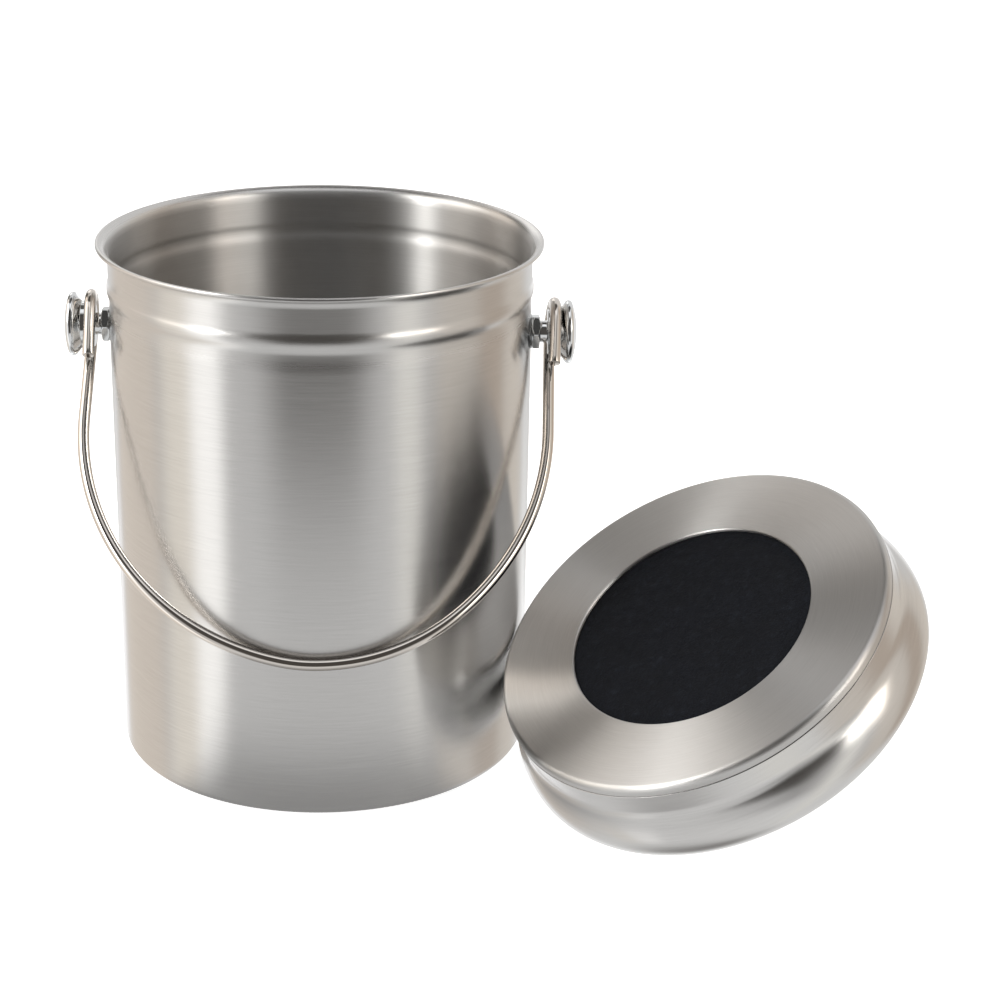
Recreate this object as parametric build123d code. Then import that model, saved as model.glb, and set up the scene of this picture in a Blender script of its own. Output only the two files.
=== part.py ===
from build123d import *
import math
import os

os.makedirs("parts", exist_ok=True)

# Countertop compost caddy: a stainless pail with a rolled rim and an S-bead, a wire
# bail on two spool knobs, and a lift-off plug lid that lies upside down beside it.
# Millimetres. Origin: centre of the pail's base. +Z up, ear bolts along X, front -Y.

# ---------------------------------------------------------------- driving dimensions
RIM_H = 218.0            # height of the pail's rim
BODY_R = 86.15           # outer radius of the straight wall
WALL = 0.7               # sheet thickness of the pail
BASE_CORNER_R = 3.0      # outer radius of the base corner
BASE_STEP_R = 50.0       # where the pressed base groove starts
BASE_STEP_H = 1.0        # height of the pressed groove
RIM_R = 90.83            # outer radius of the hemmed flare
HEM_R = 0.85             # half thickness of the folded hem
HEM_TURN = 75.0          # how far the flare has turned where the fold starts, degrees
BEAD_START = 186.6       # where the S-bead leaves the straight wall
NECK_IN = 0.28           # depth of the neck below the wall
NECK_RUN = 7.4
BULGE_OUT = 0.75         # how far the bead stands proud of the wall
STEEP_RUN = 5.3
FADE_RUN = 3.9

PIVOT_Z_L, PIVOT_Z_R = 180.5, 178.8    # heights of the two ears, which differ a little
BOLT_R = 4.0             # M8 ear bolt
BOLT_HOLE_R = 4.2
BOLT_HEAD_R = 7.0
BOLT_HEAD_H = 3.2
WASHER_R = 7.6
OUTER_WASHER_R = 7.0
OUTER_WASHER_T = 0.5
INNER_WASHER_T = 1.2
NUT_AF = 13.0            # hexagon across the flats
NUT_T = 2.9
NUT_TURN_L, NUT_TURN_R = 6.0, -6.0     # how the tightened nuts stand, degrees
NECK_R = 4.6             # neck between the nut and the hub
NECK_X0 = 89.75
HUB_R = 9.35             # spool hub that the bail's eye turns on
HUB_X0 = 92.8            # inner end of the hub
HUB_X1 = 97.9            # where the knob's cone starts
KNOB_R = 13.1
EDGE_R = 1.8             # the knob's rounded edge
EDGE_X = 101.5           # widest point of the knob
KNOB_X = 104.9           # crown of the knob

WIRE_R = 2.4             # bail wire
EYE_R = 11.85            # centreline radius of the eye
EYE_X_L, EYE_X_R = -94.84, 95.1
TWIST_L, TWIST_R = 2.7, 4.1            # the eyes stand a little askew on their hubs, degrees
TIP_TURN_L, TIP_TURN_R = 3.2, 1.1      # the tips bend in from the line of the legs, degrees
TIP_L, TIP_R = 20.2, 20.4              # straight run past the eye to the cut end
BOW_L = 142.09           # from the ear axis to the middle of the bow
BOW_X = 0.17             # where the bow is lowest
LEG_LEAN_L, LEG_LEAN_R = 1.26, -0.90   # the hand-bent legs' lean, degrees outwards
LEG_L, LEG_R = 36.8, 39.9              # straight legs
TURN_L, TURN_R = 78.67, 48.02          # where the two arcs of each side meet, degrees
BAIL_GAP = 0.3           # running gap to the wall where the bail hangs

LID_C = (149.09, -71.66, 79.26)   # centre of the lid's flat face, as it lies
LID_AZ = 213.22          # where that face points, degrees
LID_EL = 57.27
LID_T = 0.7
FACE_R = 83.3            # lid face, outer radius of its side
FACE_EDGE_R = 2.3
OPENING_R = 51.15        # round opening over the filter
LIP_R = 0.85
SEAM_S = 4.55            # end of the face ring's visible side
SEAM_GAP = 0.15
SLEEVE_S = 7.9
SKIRT_R = 83.5
CONCAVE_R = 9.0
SHOULDER_R = 22.0
BULGE_R = 88.65          # widest radius of the lid
BULGE_S = 30.7           # its distance from the face
CROWN_R = 11.9
APEX_S = 57.2            # top of the dome
VENT_R = 2.25
VENT_RING = 27.0
VENT_N = 16
FILTER_R = 78.0
FILTER_S0, FILTER_S1 = 1.6, 8.0
PLATE_S = 8.1            # plate behind the filter
PLATE_T = 0.6
LID_KNOB_TOP = 84.4      # distance from the face to the knob's top
LID_KNOB_R = 16.5
LID_KNOB_EDGE = 2.2


# ------------------------------------------------------------------------- helpers
def P3(p):
    return (p[0], 0.0, p[1])


class Turtle:
    """A tangent-continuous outline of lines and arcs in the (radius, height) plane."""

    def __init__(self, r, z, heading):
        self.p = (r, z)
        self.h = math.radians(heading)
        self.segs = []

    def line(self, length):
        q = (self.p[0] + length * math.cos(self.h), self.p[1] + length * math.sin(self.h))
        self.segs.append(("L", self.p, q, self.h))
        self.p = q
        return self

    def to_r(self, r):
        return self.line((r - self.p[0]) / math.cos(self.h))

    def to_z(self, z):
        return self.line((z - self.p[1]) / math.sin(self.h))

    def arc(self, radius, turn):
        """A positive turn bends to the left."""
        t = math.radians(turn)
        s = 1.0 if t > 0 else -1.0
        c = (self.p[0] - s * radius * math.sin(self.h), self.p[1] + s * radius * math.cos(self.h))
        a0 = math.atan2(self.p[1] - c[1], self.p[0] - c[0])
        self.segs.append(("A", c, radius, a0, t))
        a1 = a0 + t
        self.p = (c[0] + radius * math.cos(a1), c[1] + radius * math.sin(a1))
        self.h += t
        return self

    def jog(self, side, run):
        """An S of two equal arcs that shifts the outline sideways, to the left if positive."""
        a = 2 * math.atan(abs(side) / run)
        rad = run / (2 * math.sin(a))
        s = 1 if side > 0 else -1
        return self.arc(rad, s * math.degrees(a)).arc(rad, -s * math.degrees(a))

    def edges(self, off=0.0):
        """The outline, or its parallel at a distance to the left."""
        out = []
        for g in self.segs:
            if g[0] == "L":
                n = (-math.sin(g[3]) * off, math.cos(g[3]) * off)
                a = (g[1][0] + n[0], g[1][1] + n[1])
                b = (g[2][0] + n[0], g[2][1] + n[1])
                out.append(("L", a, b))
            else:
                _, c, rad, a0, t = g
                rr = rad - off if t > 0 else rad + off
                pts = [(c[0] + rr * math.cos(a0 + t * k), c[1] + rr * math.sin(a0 + t * k)) for k in (0, 0.5, 1)]
                out.append(("A", *pts))
        return out


def first(e):
    return e[1]


def last(e):
    return e[-1]


def turned_back(es):
    return [("L", e[2], e[1]) if e[0] == "L" else ("A", e[3], e[2], e[1]) for e in reversed(es)]


def to_edge(e):
    if e[0] == "L":
        return Edge.make_line(P3(e[1]), P3(e[2]))
    return Edge.make_three_point_arc(P3(e[1]), P3(e[2]), P3(e[3]))


def lathe(es):
    """Revolves a closed outline, given as an ordered list of lines and arcs, about Z."""
    full = []
    for i, e in enumerate(es):
        full.append(e)
        nxt = es[(i + 1) % len(es)]
        a, b = last(e), first(nxt)
        if math.hypot(a[0] - b[0], a[1] - b[1]) > 1e-6:
            full.append(("L", a, b))
    face = Face(Wire([to_edge(e) for e in full]))
    return Solid.revolve(face, 360, Axis.Z)


def lathe_points(pts):
    return lathe([("L", pts[i], pts[(i + 1) % len(pts)]) for i in range(len(pts))])


def arc_pts(c, rad, a0, a1):
    """Three points of an arc, angles in degrees."""
    return ("A", *[(c[0] + rad * math.cos(math.radians(a)), c[1] + rad * math.sin(math.radians(a)))
                   for a in (a0, (a0 + a1) / 2, a1)])


def save(name, shape):
    export_step(shape, f"parts/{name}.step")
    solids = shape.solids()
    print(f"{name:24s} solids {len(solids)}  volume {sum(s.volume for s in solids):10.1f}")


# ------------------------------------------------------------------------ the pail
# Flare: its centre follows from the rim radius, the hem and the wall.
cosT, sinT = math.cos(math.radians(HEM_TURN)), math.sin(math.radians(HEM_TURN))
inner_r = BODY_R - WALL
flare_c = (RIM_R - HEM_R - cosT * (inner_r + HEM_R)) / (1 - cosT)
flare_i = flare_c - inner_r
flare_o = flare_c - BODY_R
flare_z = RIM_H - HEM_R - sinT * (flare_i - HEM_R)
print(f"flare centre r {flare_c:.2f} z {flare_z:.2f}, inner radius {flare_i:.2f}")

wall = Turtle(0.0, 0.0, 0)
wall.to_r(BASE_STEP_R).jog(BASE_STEP_H, 3.0).line(3.0).jog(-BASE_STEP_H, 3.0)
wall.to_r(BODY_R - BASE_CORNER_R).arc(BASE_CORNER_R, 90)
wall.to_z(BEAD_START)
wall.jog(NECK_IN, NECK_RUN).jog(-(NECK_IN + BULGE_OUT), STEEP_RUN).jog(BULGE_OUT, FADE_RUN)
wall.to_z(flare_z)
outer = wall.edges(0.0)
inner = wall.edges(WALL)

F = (flare_c, flare_z)
# Angles about the flare's centre, from -X: the wall is at 180 degrees.
a_fold = 180 - HEM_TURN
hem_c = (F[0] + (flare_i - HEM_R) * math.cos(math.radians(a_fold)),
         F[1] + (flare_i - HEM_R) * math.sin(math.radians(a_fold)))
under_r = flare_i - 2 * HEM_R
fold_end = 180 - 48.0
rim = [
    arc_pts(F, flare_o, 180, fold_end),
    ("L", last(arc_pts(F, flare_o, 180, fold_end)), first(arc_pts(F, under_r, fold_end, a_fold))),
    arc_pts(F, under_r, fold_end, a_fold),
    arc_pts(hem_c, HEM_R, a_fold - 180, a_fold),
    arc_pts(F, flare_i, a_fold, 180),
]
pail = lathe(outer + rim + turned_back(inner))
for sx, ear_z in ((-1, PIVOT_Z_L), (1, PIVOT_Z_R)):
    hole = Solid.make_cylinder(BOLT_HOLE_R, 20, Plane(origin=(sx * 76, 0, ear_z), z_dir=(sx, 0, 0)))
    pail = pail - hole
save("pail_shell", pail)


# ------------------------------------------------------------------- ear hardware
def along_x(shape, sx):
    """Turns a part built about +Z so that +Z points along sx * X at the ear's height."""
    pl = Plane(origin=(0, 0, PIVOT_Z_L if sx < 0 else PIVOT_Z_R), x_dir=(0, 1, 0), z_dir=(sx, 0, 0))
    return pl.location * shape


inner_face = math.sqrt(inner_r ** 2 - WASHER_R ** 2) - 0.03   # inner washer bears at its edges
head_x = inner_face - INNER_WASHER_T
outer_x = BODY_R
nut_x = outer_x + OUTER_WASHER_T

inner_washer = lathe_points([(BOLT_HOLE_R, head_x), (WASHER_R, head_x), (WASHER_R, inner_face), (BOLT_HOLE_R, inner_face)])
outer_washer = lathe_points([(BOLT_HOLE_R, outer_x), (OUTER_WASHER_R, outer_x), (OUTER_WASHER_R, nut_x), (BOLT_HOLE_R, nut_x)])

# Bolt with a low domed head inside the pail.
dome_r = (BOLT_HEAD_R ** 2 + (BOLT_HEAD_H - 1.0) ** 2) / (2 * (BOLT_HEAD_H - 1.0))
dome_c = (0.0, head_x - BOLT_HEAD_H + dome_r)
a_edge = math.degrees(math.atan2(head_x - 1.0 - dome_c[1], BOLT_HEAD_R))
bolt = lathe([
    arc_pts(dome_c, dome_r, -90, a_edge),
    ("L", (BOLT_HEAD_R, head_x - 1.0), (BOLT_HEAD_R, head_x - 0.02)),
    ("L", (BOLT_HEAD_R, head_x - 0.02), (BOLT_R, head_x - 0.02)),
    ("L", (BOLT_R, head_x - 0.02), (BOLT_R, 99.4)),
    ("L", (BOLT_R, 99.4), (BOLT_R - 0.8, 100.2)),
    ("L", (BOLT_R - 0.8, 100.2), (0.0, 100.2)),
])
socket = extrude(Plane(origin=(0, 0, head_x - BOLT_HEAD_H - 1)) * RegularPolygon(2.5, 6, major_radius=False), 2.9)
bolt = bolt - socket

# Thin hexagon nut with chamfered corners.
nut = extrude(Plane(origin=(0, 0, nut_x)) * RegularPolygon(NUT_AF / 2, 6, major_radius=False), NUT_T)
corner = NUT_AF / 2 / math.cos(math.radians(30))
nut = nut & lathe_points([(0, nut_x), (corner - 0.7, nut_x), (corner + 0.01, nut_x + 0.45), (corner + 0.01, nut_x + NUT_T - 0.45),
                          (corner - 0.7, nut_x + NUT_T), (0, nut_x + NUT_T)])
nut = nut - Solid.make_cylinder(BOLT_R + 0.05, 20, Plane(origin=(0, 0, nut_x - 5)))

# Spool knob: a neck, a hub for the eye, a cone, a rounded edge and a domed face.
edge_o = (KNOB_R - EDGE_R, EDGE_X)                    # centre of the rounded edge
crown_r = (edge_o[0] ** 2 + (KNOB_X - EDGE_X) ** 2 - EDGE_R ** 2) / (2 * (KNOB_X - EDGE_X - EDGE_R))
crown_c = (0.0, KNOB_X - crown_r)                     # the dome is tangent to the edge
a_crown = math.degrees(math.atan2(edge_o[1] - crown_c[1], edge_o[0]))
to_edge_c = (edge_o[0] - HUB_R, edge_o[1] - HUB_X1)
reach_c = math.hypot(*to_edge_c)
steep = math.atan2(to_edge_c[0], to_edge_c[1]) + math.asin(EDGE_R / reach_c)   # cone, from the axis
a_cone = -math.degrees(steep)                         # where the cone meets the edge
knob = lathe([
    ("L", (BOLT_R + 0.06, NECK_X0), (NECK_R, NECK_X0)),
    ("L", (NECK_R, NECK_X0), (NECK_R, HUB_X0)),
    ("L", (NECK_R, HUB_X0), (HUB_R - 0.5, HUB_X0)),
    ("L", (HUB_R - 0.5, HUB_X0), (HUB_R, HUB_X0 + 0.5)),
    ("L", (HUB_R, HUB_X0 + 0.5), (HUB_R, HUB_X1)),
    ("L", (HUB_R, HUB_X1), first(arc_pts(edge_o, EDGE_R, a_cone, a_crown))),
    arc_pts(edge_o, EDGE_R, a_cone, a_crown),
    ("A", *[p for p in arc_pts(crown_c, crown_r, a_crown, 90)[1:]]),
    ("L", (0.0, KNOB_X), (0.0, 100.6)),
    ("L", (0.0, 100.6), (BOLT_R + 0.06, 100.6)),
])

for side, sx, turned in (("left", -1, NUT_TURN_L), ("right", 1, NUT_TURN_R)):
    save(f"{side}_inner_washer", along_x(inner_washer, sx))
    save(f"{side}_outer_washer", along_x(outer_washer, sx))
    save(f"{side}_pivot_bolt", along_x(bolt, sx))
    save(f"{side}_hex_nut", along_x(nut.rotate(Axis.Z, turned), sx))
    save(f"{side}_spool_knob", along_x(knob, sx))

# -------------------------------------------------------------------- the bail wire
reach = BODY_R + WIRE_R + BAIL_GAP
arm = math.hypot(BOW_L, EYE_R)
lean = math.asin(reach / arm) + math.atan2(EYE_R, BOW_L)
back = math.asin(reach / arm) - math.atan2(EYE_R, BOW_L)
print(f"bail hangs {math.degrees(lean):.2f} deg forward; travel to the back stop {360 - math.degrees(lean + back):.2f} deg")
eye_l, eye_r = Vector(EYE_X_L, 0, PIVOT_Z_L), Vector(EYE_X_R, 0, PIVOT_Z_R)
X = (eye_r - eye_l).normalized()                    # the hinge line, through both eyes
pivot = eye_l + X * (-EYE_X_L / X.X)                # where it crosses the pail's middle
d = Vector(0, -math.sin(lean), -math.cos(lean))
d = (d - X * d.dot(X)).normalized()                 # down the bow
e0 = X.cross(d)                                     # square to it, to the front
e0 = e0 if e0.Y < 0 else e0 * -1
print("hinge line", pivot, X, "front", e0)


def side_path(sx, c, leg_len, leg_deg, turn_deg, tip_len, twist, tip_turn):
    """Edges of one half of the bail, from the cut tip to the bottom of the bow."""
    be, al, tw, tt = (math.radians(v) for v in (leg_deg, turn_deg, twist, tip_turn))
    dl = d * math.cos(be) + X * (sx * math.sin(be))                 # along the leg
    el = e0 * math.cos(tw) + (X - dl * X.dot(dl)).normalized() * math.sin(tw)
    el = (el - dl * el.dot(dl)).normalized()
    c = c - e0 * (EYE_R * (1 - math.cos(tw)))                       # both legs in one plane
    top = c - dl * EYE_R
    leg0 = c - el * EYE_R
    leg1 = leg0 + dl * leg_len
    dt = dl * math.cos(tt) - X * (sx * math.sin(tt))                # along the tip
    dt = (dt - el * dt.dot(el)).normalized()
    ct = top + dt * EYE_R
    tip1 = ct + el * EYE_R
    tip0 = tip1 + dt * tip_len
    r45 = EYE_R * math.sqrt(0.5)
    # the bow: two arcs in the plane of X and d, from the leg to the bottom
    half = abs((leg1 - pivot).dot(X) - BOW_X)
    depth = BOW_L - (leg1 - pivot).dot(d)
    a, b = math.cos(be) - math.cos(al), math.cos(al)
    cc, dd = math.sin(al) + math.sin(be), 1 - math.sin(al)
    det = a * dd - b * cc
    r1 = (half * dd - b * depth) / det
    r2 = (a * depth - cc * half) / det

    def pt(ph):
        if ph <= al:
            u = r1 * (math.cos(be) - math.cos(ph))
            v = r1 * (math.sin(ph) + math.sin(be))
        else:
            u = r1 * (math.cos(be) - math.cos(al)) + r2 * (math.cos(al) - math.cos(ph))
            v = r1 * (math.sin(al) + math.sin(be)) + r2 * (math.sin(ph) - math.sin(al))
        return leg1 + X * (-sx * u) + d * v

    print(f"bail side {sx:+d}: bow radii {r1:.1f} and {r2:.1f}")
    return [
        Edge.make_line(tip0, tip1),
        Edge.make_three_point_arc(tip1, ct + el * r45 - dt * r45, top),
        Edge.make_three_point_arc(top, c - el * r45 - dl * r45, leg0),
        Edge.make_line(leg0, leg1),
        Edge.make_three_point_arc(pt(-be), pt((al - be) / 2), pt(al)),
        Edge.make_three_point_arc(pt(al), pt((al + math.pi / 2) / 2), pt(math.pi / 2)),
    ], tip0, -dt, pt(math.pi / 2)


left_edges, tip_l, dir_l, low_l = side_path(-1, eye_l, LEG_L, LEG_LEAN_L, TURN_L, TIP_L, TWIST_L, TIP_TURN_L)
right_edges, tip_r, dir_r, low_r = side_path(1, eye_r, LEG_R, LEG_LEAN_R, TURN_R, TIP_R, TWIST_R, TIP_TURN_R)
print("bow bottom", low_l, low_r, "gap", (low_l - low_r).length)


def half_wire(es, start, direction):
    section = Plane(origin=start, z_dir=direction) * Circle(WIRE_R)
    s = sweep(section, path=Wire(es))
    # the cut end is broken with a small chamfer
    end = [e for e in s.edges() if abs((e.center() - start).length) < 0.05 and e.length > 5]
    return chamfer(end, 0.35) if end else s


bail = half_wire(left_edges, tip_l, dir_l) + half_wire(right_edges, tip_r, dir_r)
save("bail_wire", bail)

# --------------------------------------------------------------------------- the lid
n = Vector(math.cos(math.radians(LID_EL)) * math.cos(math.radians(LID_AZ)),
           math.cos(math.radians(LID_EL)) * math.sin(math.radians(LID_AZ)),
           math.sin(math.radians(LID_EL)))                       # the way its face points
down = (Vector(0, 0, -1) - (-n) * Vector(0, 0, -1).dot(-n)).normalized()
lid_frame = Plane(origin=LID_C, x_dir=down, z_dir=-n)


def lay(shape):
    return lid_frame.location * shape


# Skirt, S-shaped shoulder, bulge and dome, in (radius, distance from the face).
dr = SKIRT_R + CONCAVE_R - (BULGE_R - SHOULDER_R)
ds = math.sqrt((CONCAVE_R + SHOULDER_R) ** 2 - dr ** 2)
s0 = BULGE_S - ds
swing = math.degrees(math.atan2(ds, dr))
cr = BULGE_R - CROWN_R
# dome radius R from: cr^2 + (R - (APEX_S - BULGE_S))^2 = (R - CROWN_R)^2
rise = APEX_S - BULGE_S
dome_R = (cr ** 2 + rise ** 2 - CROWN_R ** 2) / (2 * (rise - CROWN_R))
tilt = math.degrees(math.atan2(dome_R - rise, cr))
print(f"lid: skirt straight to {s0:.2f}, swing {swing:.1f} deg, dome radius {dome_R:.1f}, crown turns {tilt:.1f} deg")
shell_path = Turtle(SKIRT_R, SEAM_S + SEAM_GAP, 90)
shell_path.to_z(s0).arc(CONCAVE_R, -swing).arc(SHOULDER_R, swing).arc(CROWN_R, tilt).arc(dome_R, 90 - tilt)
so, si = shell_path.edges(0.0), shell_path.edges(LID_T)
lid_shell = lathe(so + turned_back(si))
lid_shell = lid_shell - Solid.make_cylinder(2.65, 40, Plane(origin=(0, 0, APEX_S - 20)))
for i in range(VENT_N):
    a = 2 * math.pi * (i + 0.5) / VENT_N
    lid_shell = lid_shell - Solid.make_cylinder(VENT_R, 40, Plane(origin=(VENT_RING * math.cos(a), VENT_RING * math.sin(a), APEX_S - 20)))
save("lid_shell", lay(lid_shell))

# Face ring: a rounded plate with a turned-in lip at the opening and a sleeve in the skirt.
rp = Turtle(OPENING_R, 1.35, -90)
rp.to_z(LIP_R).arc(LIP_R, 90).to_r(FACE_R - FACE_EDGE_R).arc(FACE_EDGE_R, 90)
ro, ri = rp.edges(0.0), rp.edges(0.7)
sleeve_o = SKIRT_R - LID_T - 0.06
ring = lathe(ro + [
    ("L", (FACE_R, FACE_EDGE_R), (FACE_R, SEAM_S)),
    ("L", (FACE_R, SEAM_S), (sleeve_o, SEAM_S)),
    ("L", (sleeve_o, SEAM_S), (sleeve_o, SLEEVE_S)),
    ("L", (sleeve_o, SLEEVE_S), (sleeve_o - 0.65, SLEEVE_S)),
    ("L", (sleeve_o - 0.65, SLEEVE_S), (sleeve_o - 0.65, SEAM_S - 0.65)),
    ("L", (sleeve_o - 0.65, SEAM_S - 0.65), (FACE_R - 0.7, SEAM_S - 0.65)),
    ("L", (FACE_R - 0.7, SEAM_S - 0.65), last(ri[-1])),
] + turned_back(ri))
save("filter_ring", lay(ring))

charcoal = lathe([
    ("L", (0, FILTER_S0), (FILTER_R - 1.5, FILTER_S0)),
    arc_pts((FILTER_R - 1.5, FILTER_S0 + 1.5), 1.5, -90, 0),
    ("L", (FILTER_R, FILTER_S0 + 1.5), (FILTER_R, FILTER_S1)),
    ("L", (FILTER_R, FILTER_S1), (0, FILTER_S1)),
])
save("charcoal_filter", lay(charcoal))

# Perforated plate behind the filter, with a flange against the skirt.
pr = SKIRT_R - LID_T - 0.03
plate = lathe_points([(0, PLATE_S), (pr, PLATE_S), (pr, PLATE_S + 4.5), (pr - PLATE_T, PLATE_S + 4.5), (pr - PLATE_T, PLATE_S + PLATE_T), (0, PLATE_S + PLATE_T)])
for count, rad in ((1, 0.0), (6, 18.0), (12, 36.0), (18, 54.0)):
    for i in range(count):
        a = 2 * math.pi * i / count
        plate = plate - Solid.make_cylinder(4.0, 4, Plane(origin=(rad * math.cos(a), rad * math.sin(a), PLATE_S - 1)))
save("filter_backplate", lay(plate))

# Knob of the lid, with its screw and washer inside the dome.
top_r = LID_KNOB_R - LID_KNOB_EDGE
edge_c = (top_r, LID_KNOB_TOP - LID_KNOB_EDGE)
lid_knob = lathe([
    ("L", (2.55, APEX_S), (9.0, APEX_S)),
    ("L", (9.0, APEX_S), (9.0, APEX_S + 1.2)),
    ("A", (9.0, APEX_S + 1.2), (6.9, APEX_S + 4.6), (6.2, APEX_S + 8.6)),
    ("A", (6.2, APEX_S + 8.6), (8.6, APEX_S + 16.2), (14.6, APEX_S + 21.6)),
    ("A", (14.6, APEX_S + 21.6), (15.9, APEX_S + 22.9), (LID_KNOB_R, edge_c[1])),
    arc_pts(edge_c, LID_KNOB_EDGE, 0, 90),
    ("L", (top_r, LID_KNOB_TOP), (0, LID_KNOB_TOP)),
    ("L", (0, LID_KNOB_TOP), (0, APEX_S + 15.0)),
    ("L", (0, APEX_S + 15.0), (2.55, APEX_S + 15.0)),
])
save("lid_knob", lay(lid_knob))
wash_top = APEX_S - LID_T - 0.18
lid_washer = lathe_points([(2.7, wash_top - 1.0), (7.0, wash_top - 1.0), (7.0, wash_top), (2.7, wash_top)])
save("lid_knob_washer", lay(lid_washer))
hd = wash_top - 1.02
screw = lathe([
    ("L", (0, hd - 3.2), (3.2, hd - 3.2)),
    ("A", (3.2, hd - 3.2), (4.3, hd - 2.5), (4.8, hd - 1.3)),
    ("L", (4.8, hd - 1.3), (4.8, hd)),
    ("L", (4.8, hd), (2.5, hd)),
    ("L", (2.5, hd), (2.5, hd + 13.0)),
    ("L", (2.5, hd + 13.0), (1.9, hd + 13.6)),
    ("L", (1.9, hd + 13.6), (0, hd + 13.6)),
])
cross = (Solid.make_box(4.6, 1.1, 1.8, Plane(origin=(-2.3, -0.55, hd - 3.3)))
         .fuse(Solid.make_box(1.1, 4.6, 1.8, Plane(origin=(-0.55, -2.3, hd - 3.3)))))
screw = screw - cross
save("lid_knob_screw", lay(screw))

# ------------------------------------------------------------------ plain read-outs
zs = [lay(s).bounding_box().min.Z for s in (lid_shell, lid_knob, ring)]
print("lowest points of the lid's shell, knob and ring", [round(z, 3) for z in zs])
shoulder = (BULGE_R - SHOULDER_R, BULGE_S)
reach2 = SHOULDER_R + flare_i
closed = flare_z + math.sqrt(reach2 ** 2 - (flare_c - shoulder[0]) ** 2) - BULGE_S
print(f"closed: face {closed:.2f} above the base, knob top {closed + LID_KNOB_TOP:.2f}")
gap = 1e9
for k in range(720):
    a = 2 * math.pi * k / 720
    y_dir = (-n).cross(down)
    for rr, ss in ((FACE_R - 0.8, 0.4), (FACE_R, FACE_EDGE_R), (FACE_R, SEAM_S), (BULGE_R, BULGE_S)):
        q = Vector(*LID_C) + down * (rr * math.cos(a)) + y_dir * (rr * math.sin(a)) - n * ss
        gap = min(gap, math.hypot(q.X, q.Y) - BODY_R)
print(f"gap from the lid to the pail's wall {gap:.2f}")
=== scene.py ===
import math
import random

import bpy
import numpy as np
from mathutils import Matrix, Vector


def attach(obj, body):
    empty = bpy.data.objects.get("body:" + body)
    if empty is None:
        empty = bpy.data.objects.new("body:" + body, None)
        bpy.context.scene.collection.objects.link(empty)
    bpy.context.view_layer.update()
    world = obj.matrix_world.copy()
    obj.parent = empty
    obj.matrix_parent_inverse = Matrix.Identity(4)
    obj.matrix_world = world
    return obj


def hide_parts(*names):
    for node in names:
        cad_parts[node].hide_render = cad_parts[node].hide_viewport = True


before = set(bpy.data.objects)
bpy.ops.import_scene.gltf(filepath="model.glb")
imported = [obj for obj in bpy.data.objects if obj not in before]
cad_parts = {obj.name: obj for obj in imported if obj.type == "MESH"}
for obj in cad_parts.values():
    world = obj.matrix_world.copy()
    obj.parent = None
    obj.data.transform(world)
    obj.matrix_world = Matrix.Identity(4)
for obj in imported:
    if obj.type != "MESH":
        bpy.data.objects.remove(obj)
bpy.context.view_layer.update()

MM = 0.001

# A stainless countertop pail with a wire bail and a lift-off plug lid lying upside
# down beside it. Profiles are (radius, height) in millimetres; meshes are in metres.

# ------------------------------------------------------------------ dimensions, mm
RIM_H, BODY_R, WALL, BASE_CORNER_R = 218.0, 86.15, 0.7, 3.0
RIM_R, HEM_R, HEM_TURN = 90.83, 0.85, 75.0
BEAD_START, NECK_IN, NECK_RUN, BULGE_OUT, STEEP_RUN, FADE_RUN = 186.6, 0.28, 7.4, 0.75, 5.3, 3.9
PIVOT_Z_L, PIVOT_Z_R = 180.5, 178.8
BOLT_HOLE_R, OUTER_WASHER_R = 4.2, 7.0
NUT_AF, NUT_T, NUT_X = 13.0, 2.9, 86.65
NECK_R, NECK_X0, HUB_R, HUB_X0, HUB_X1 = 4.6, 89.75, 9.35, 92.8, 97.9
KNOB_R, EDGE_R, EDGE_X, KNOB_X = 13.1, 1.8, 101.5, 104.9
WIRE_R, EYE_R = 2.4, 11.85
LID_C = Vector((149.09, -71.66, 79.26))
LID_AZ, LID_EL = math.radians(213.22), math.radians(57.27)
SKIRT_R, LID_T, SEAM_S, SEAM_GAP = 83.5, 0.7, 4.55, 0.15
FACE_R, FACE_EDGE_R, OPENING_R, LIP_R = 83.3, 2.3, 51.15, 0.85
CONCAVE_R, SHOULDER_R, BULGE_R, BULGE_S, CROWN_R, APEX_S = 9.0, 22.0, 88.65, 30.7, 11.9, 57.2
VENT_R, VENT_RING, VENT_N = 2.25, 27.0, 16
FILTER_R, FILTER_S0, FILTER_S1 = 78.0, 1.6, 8.0
LID_KNOB_TOP, LID_KNOB_R, LID_KNOB_EDGE = 84.4, 16.5, 2.2


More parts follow.
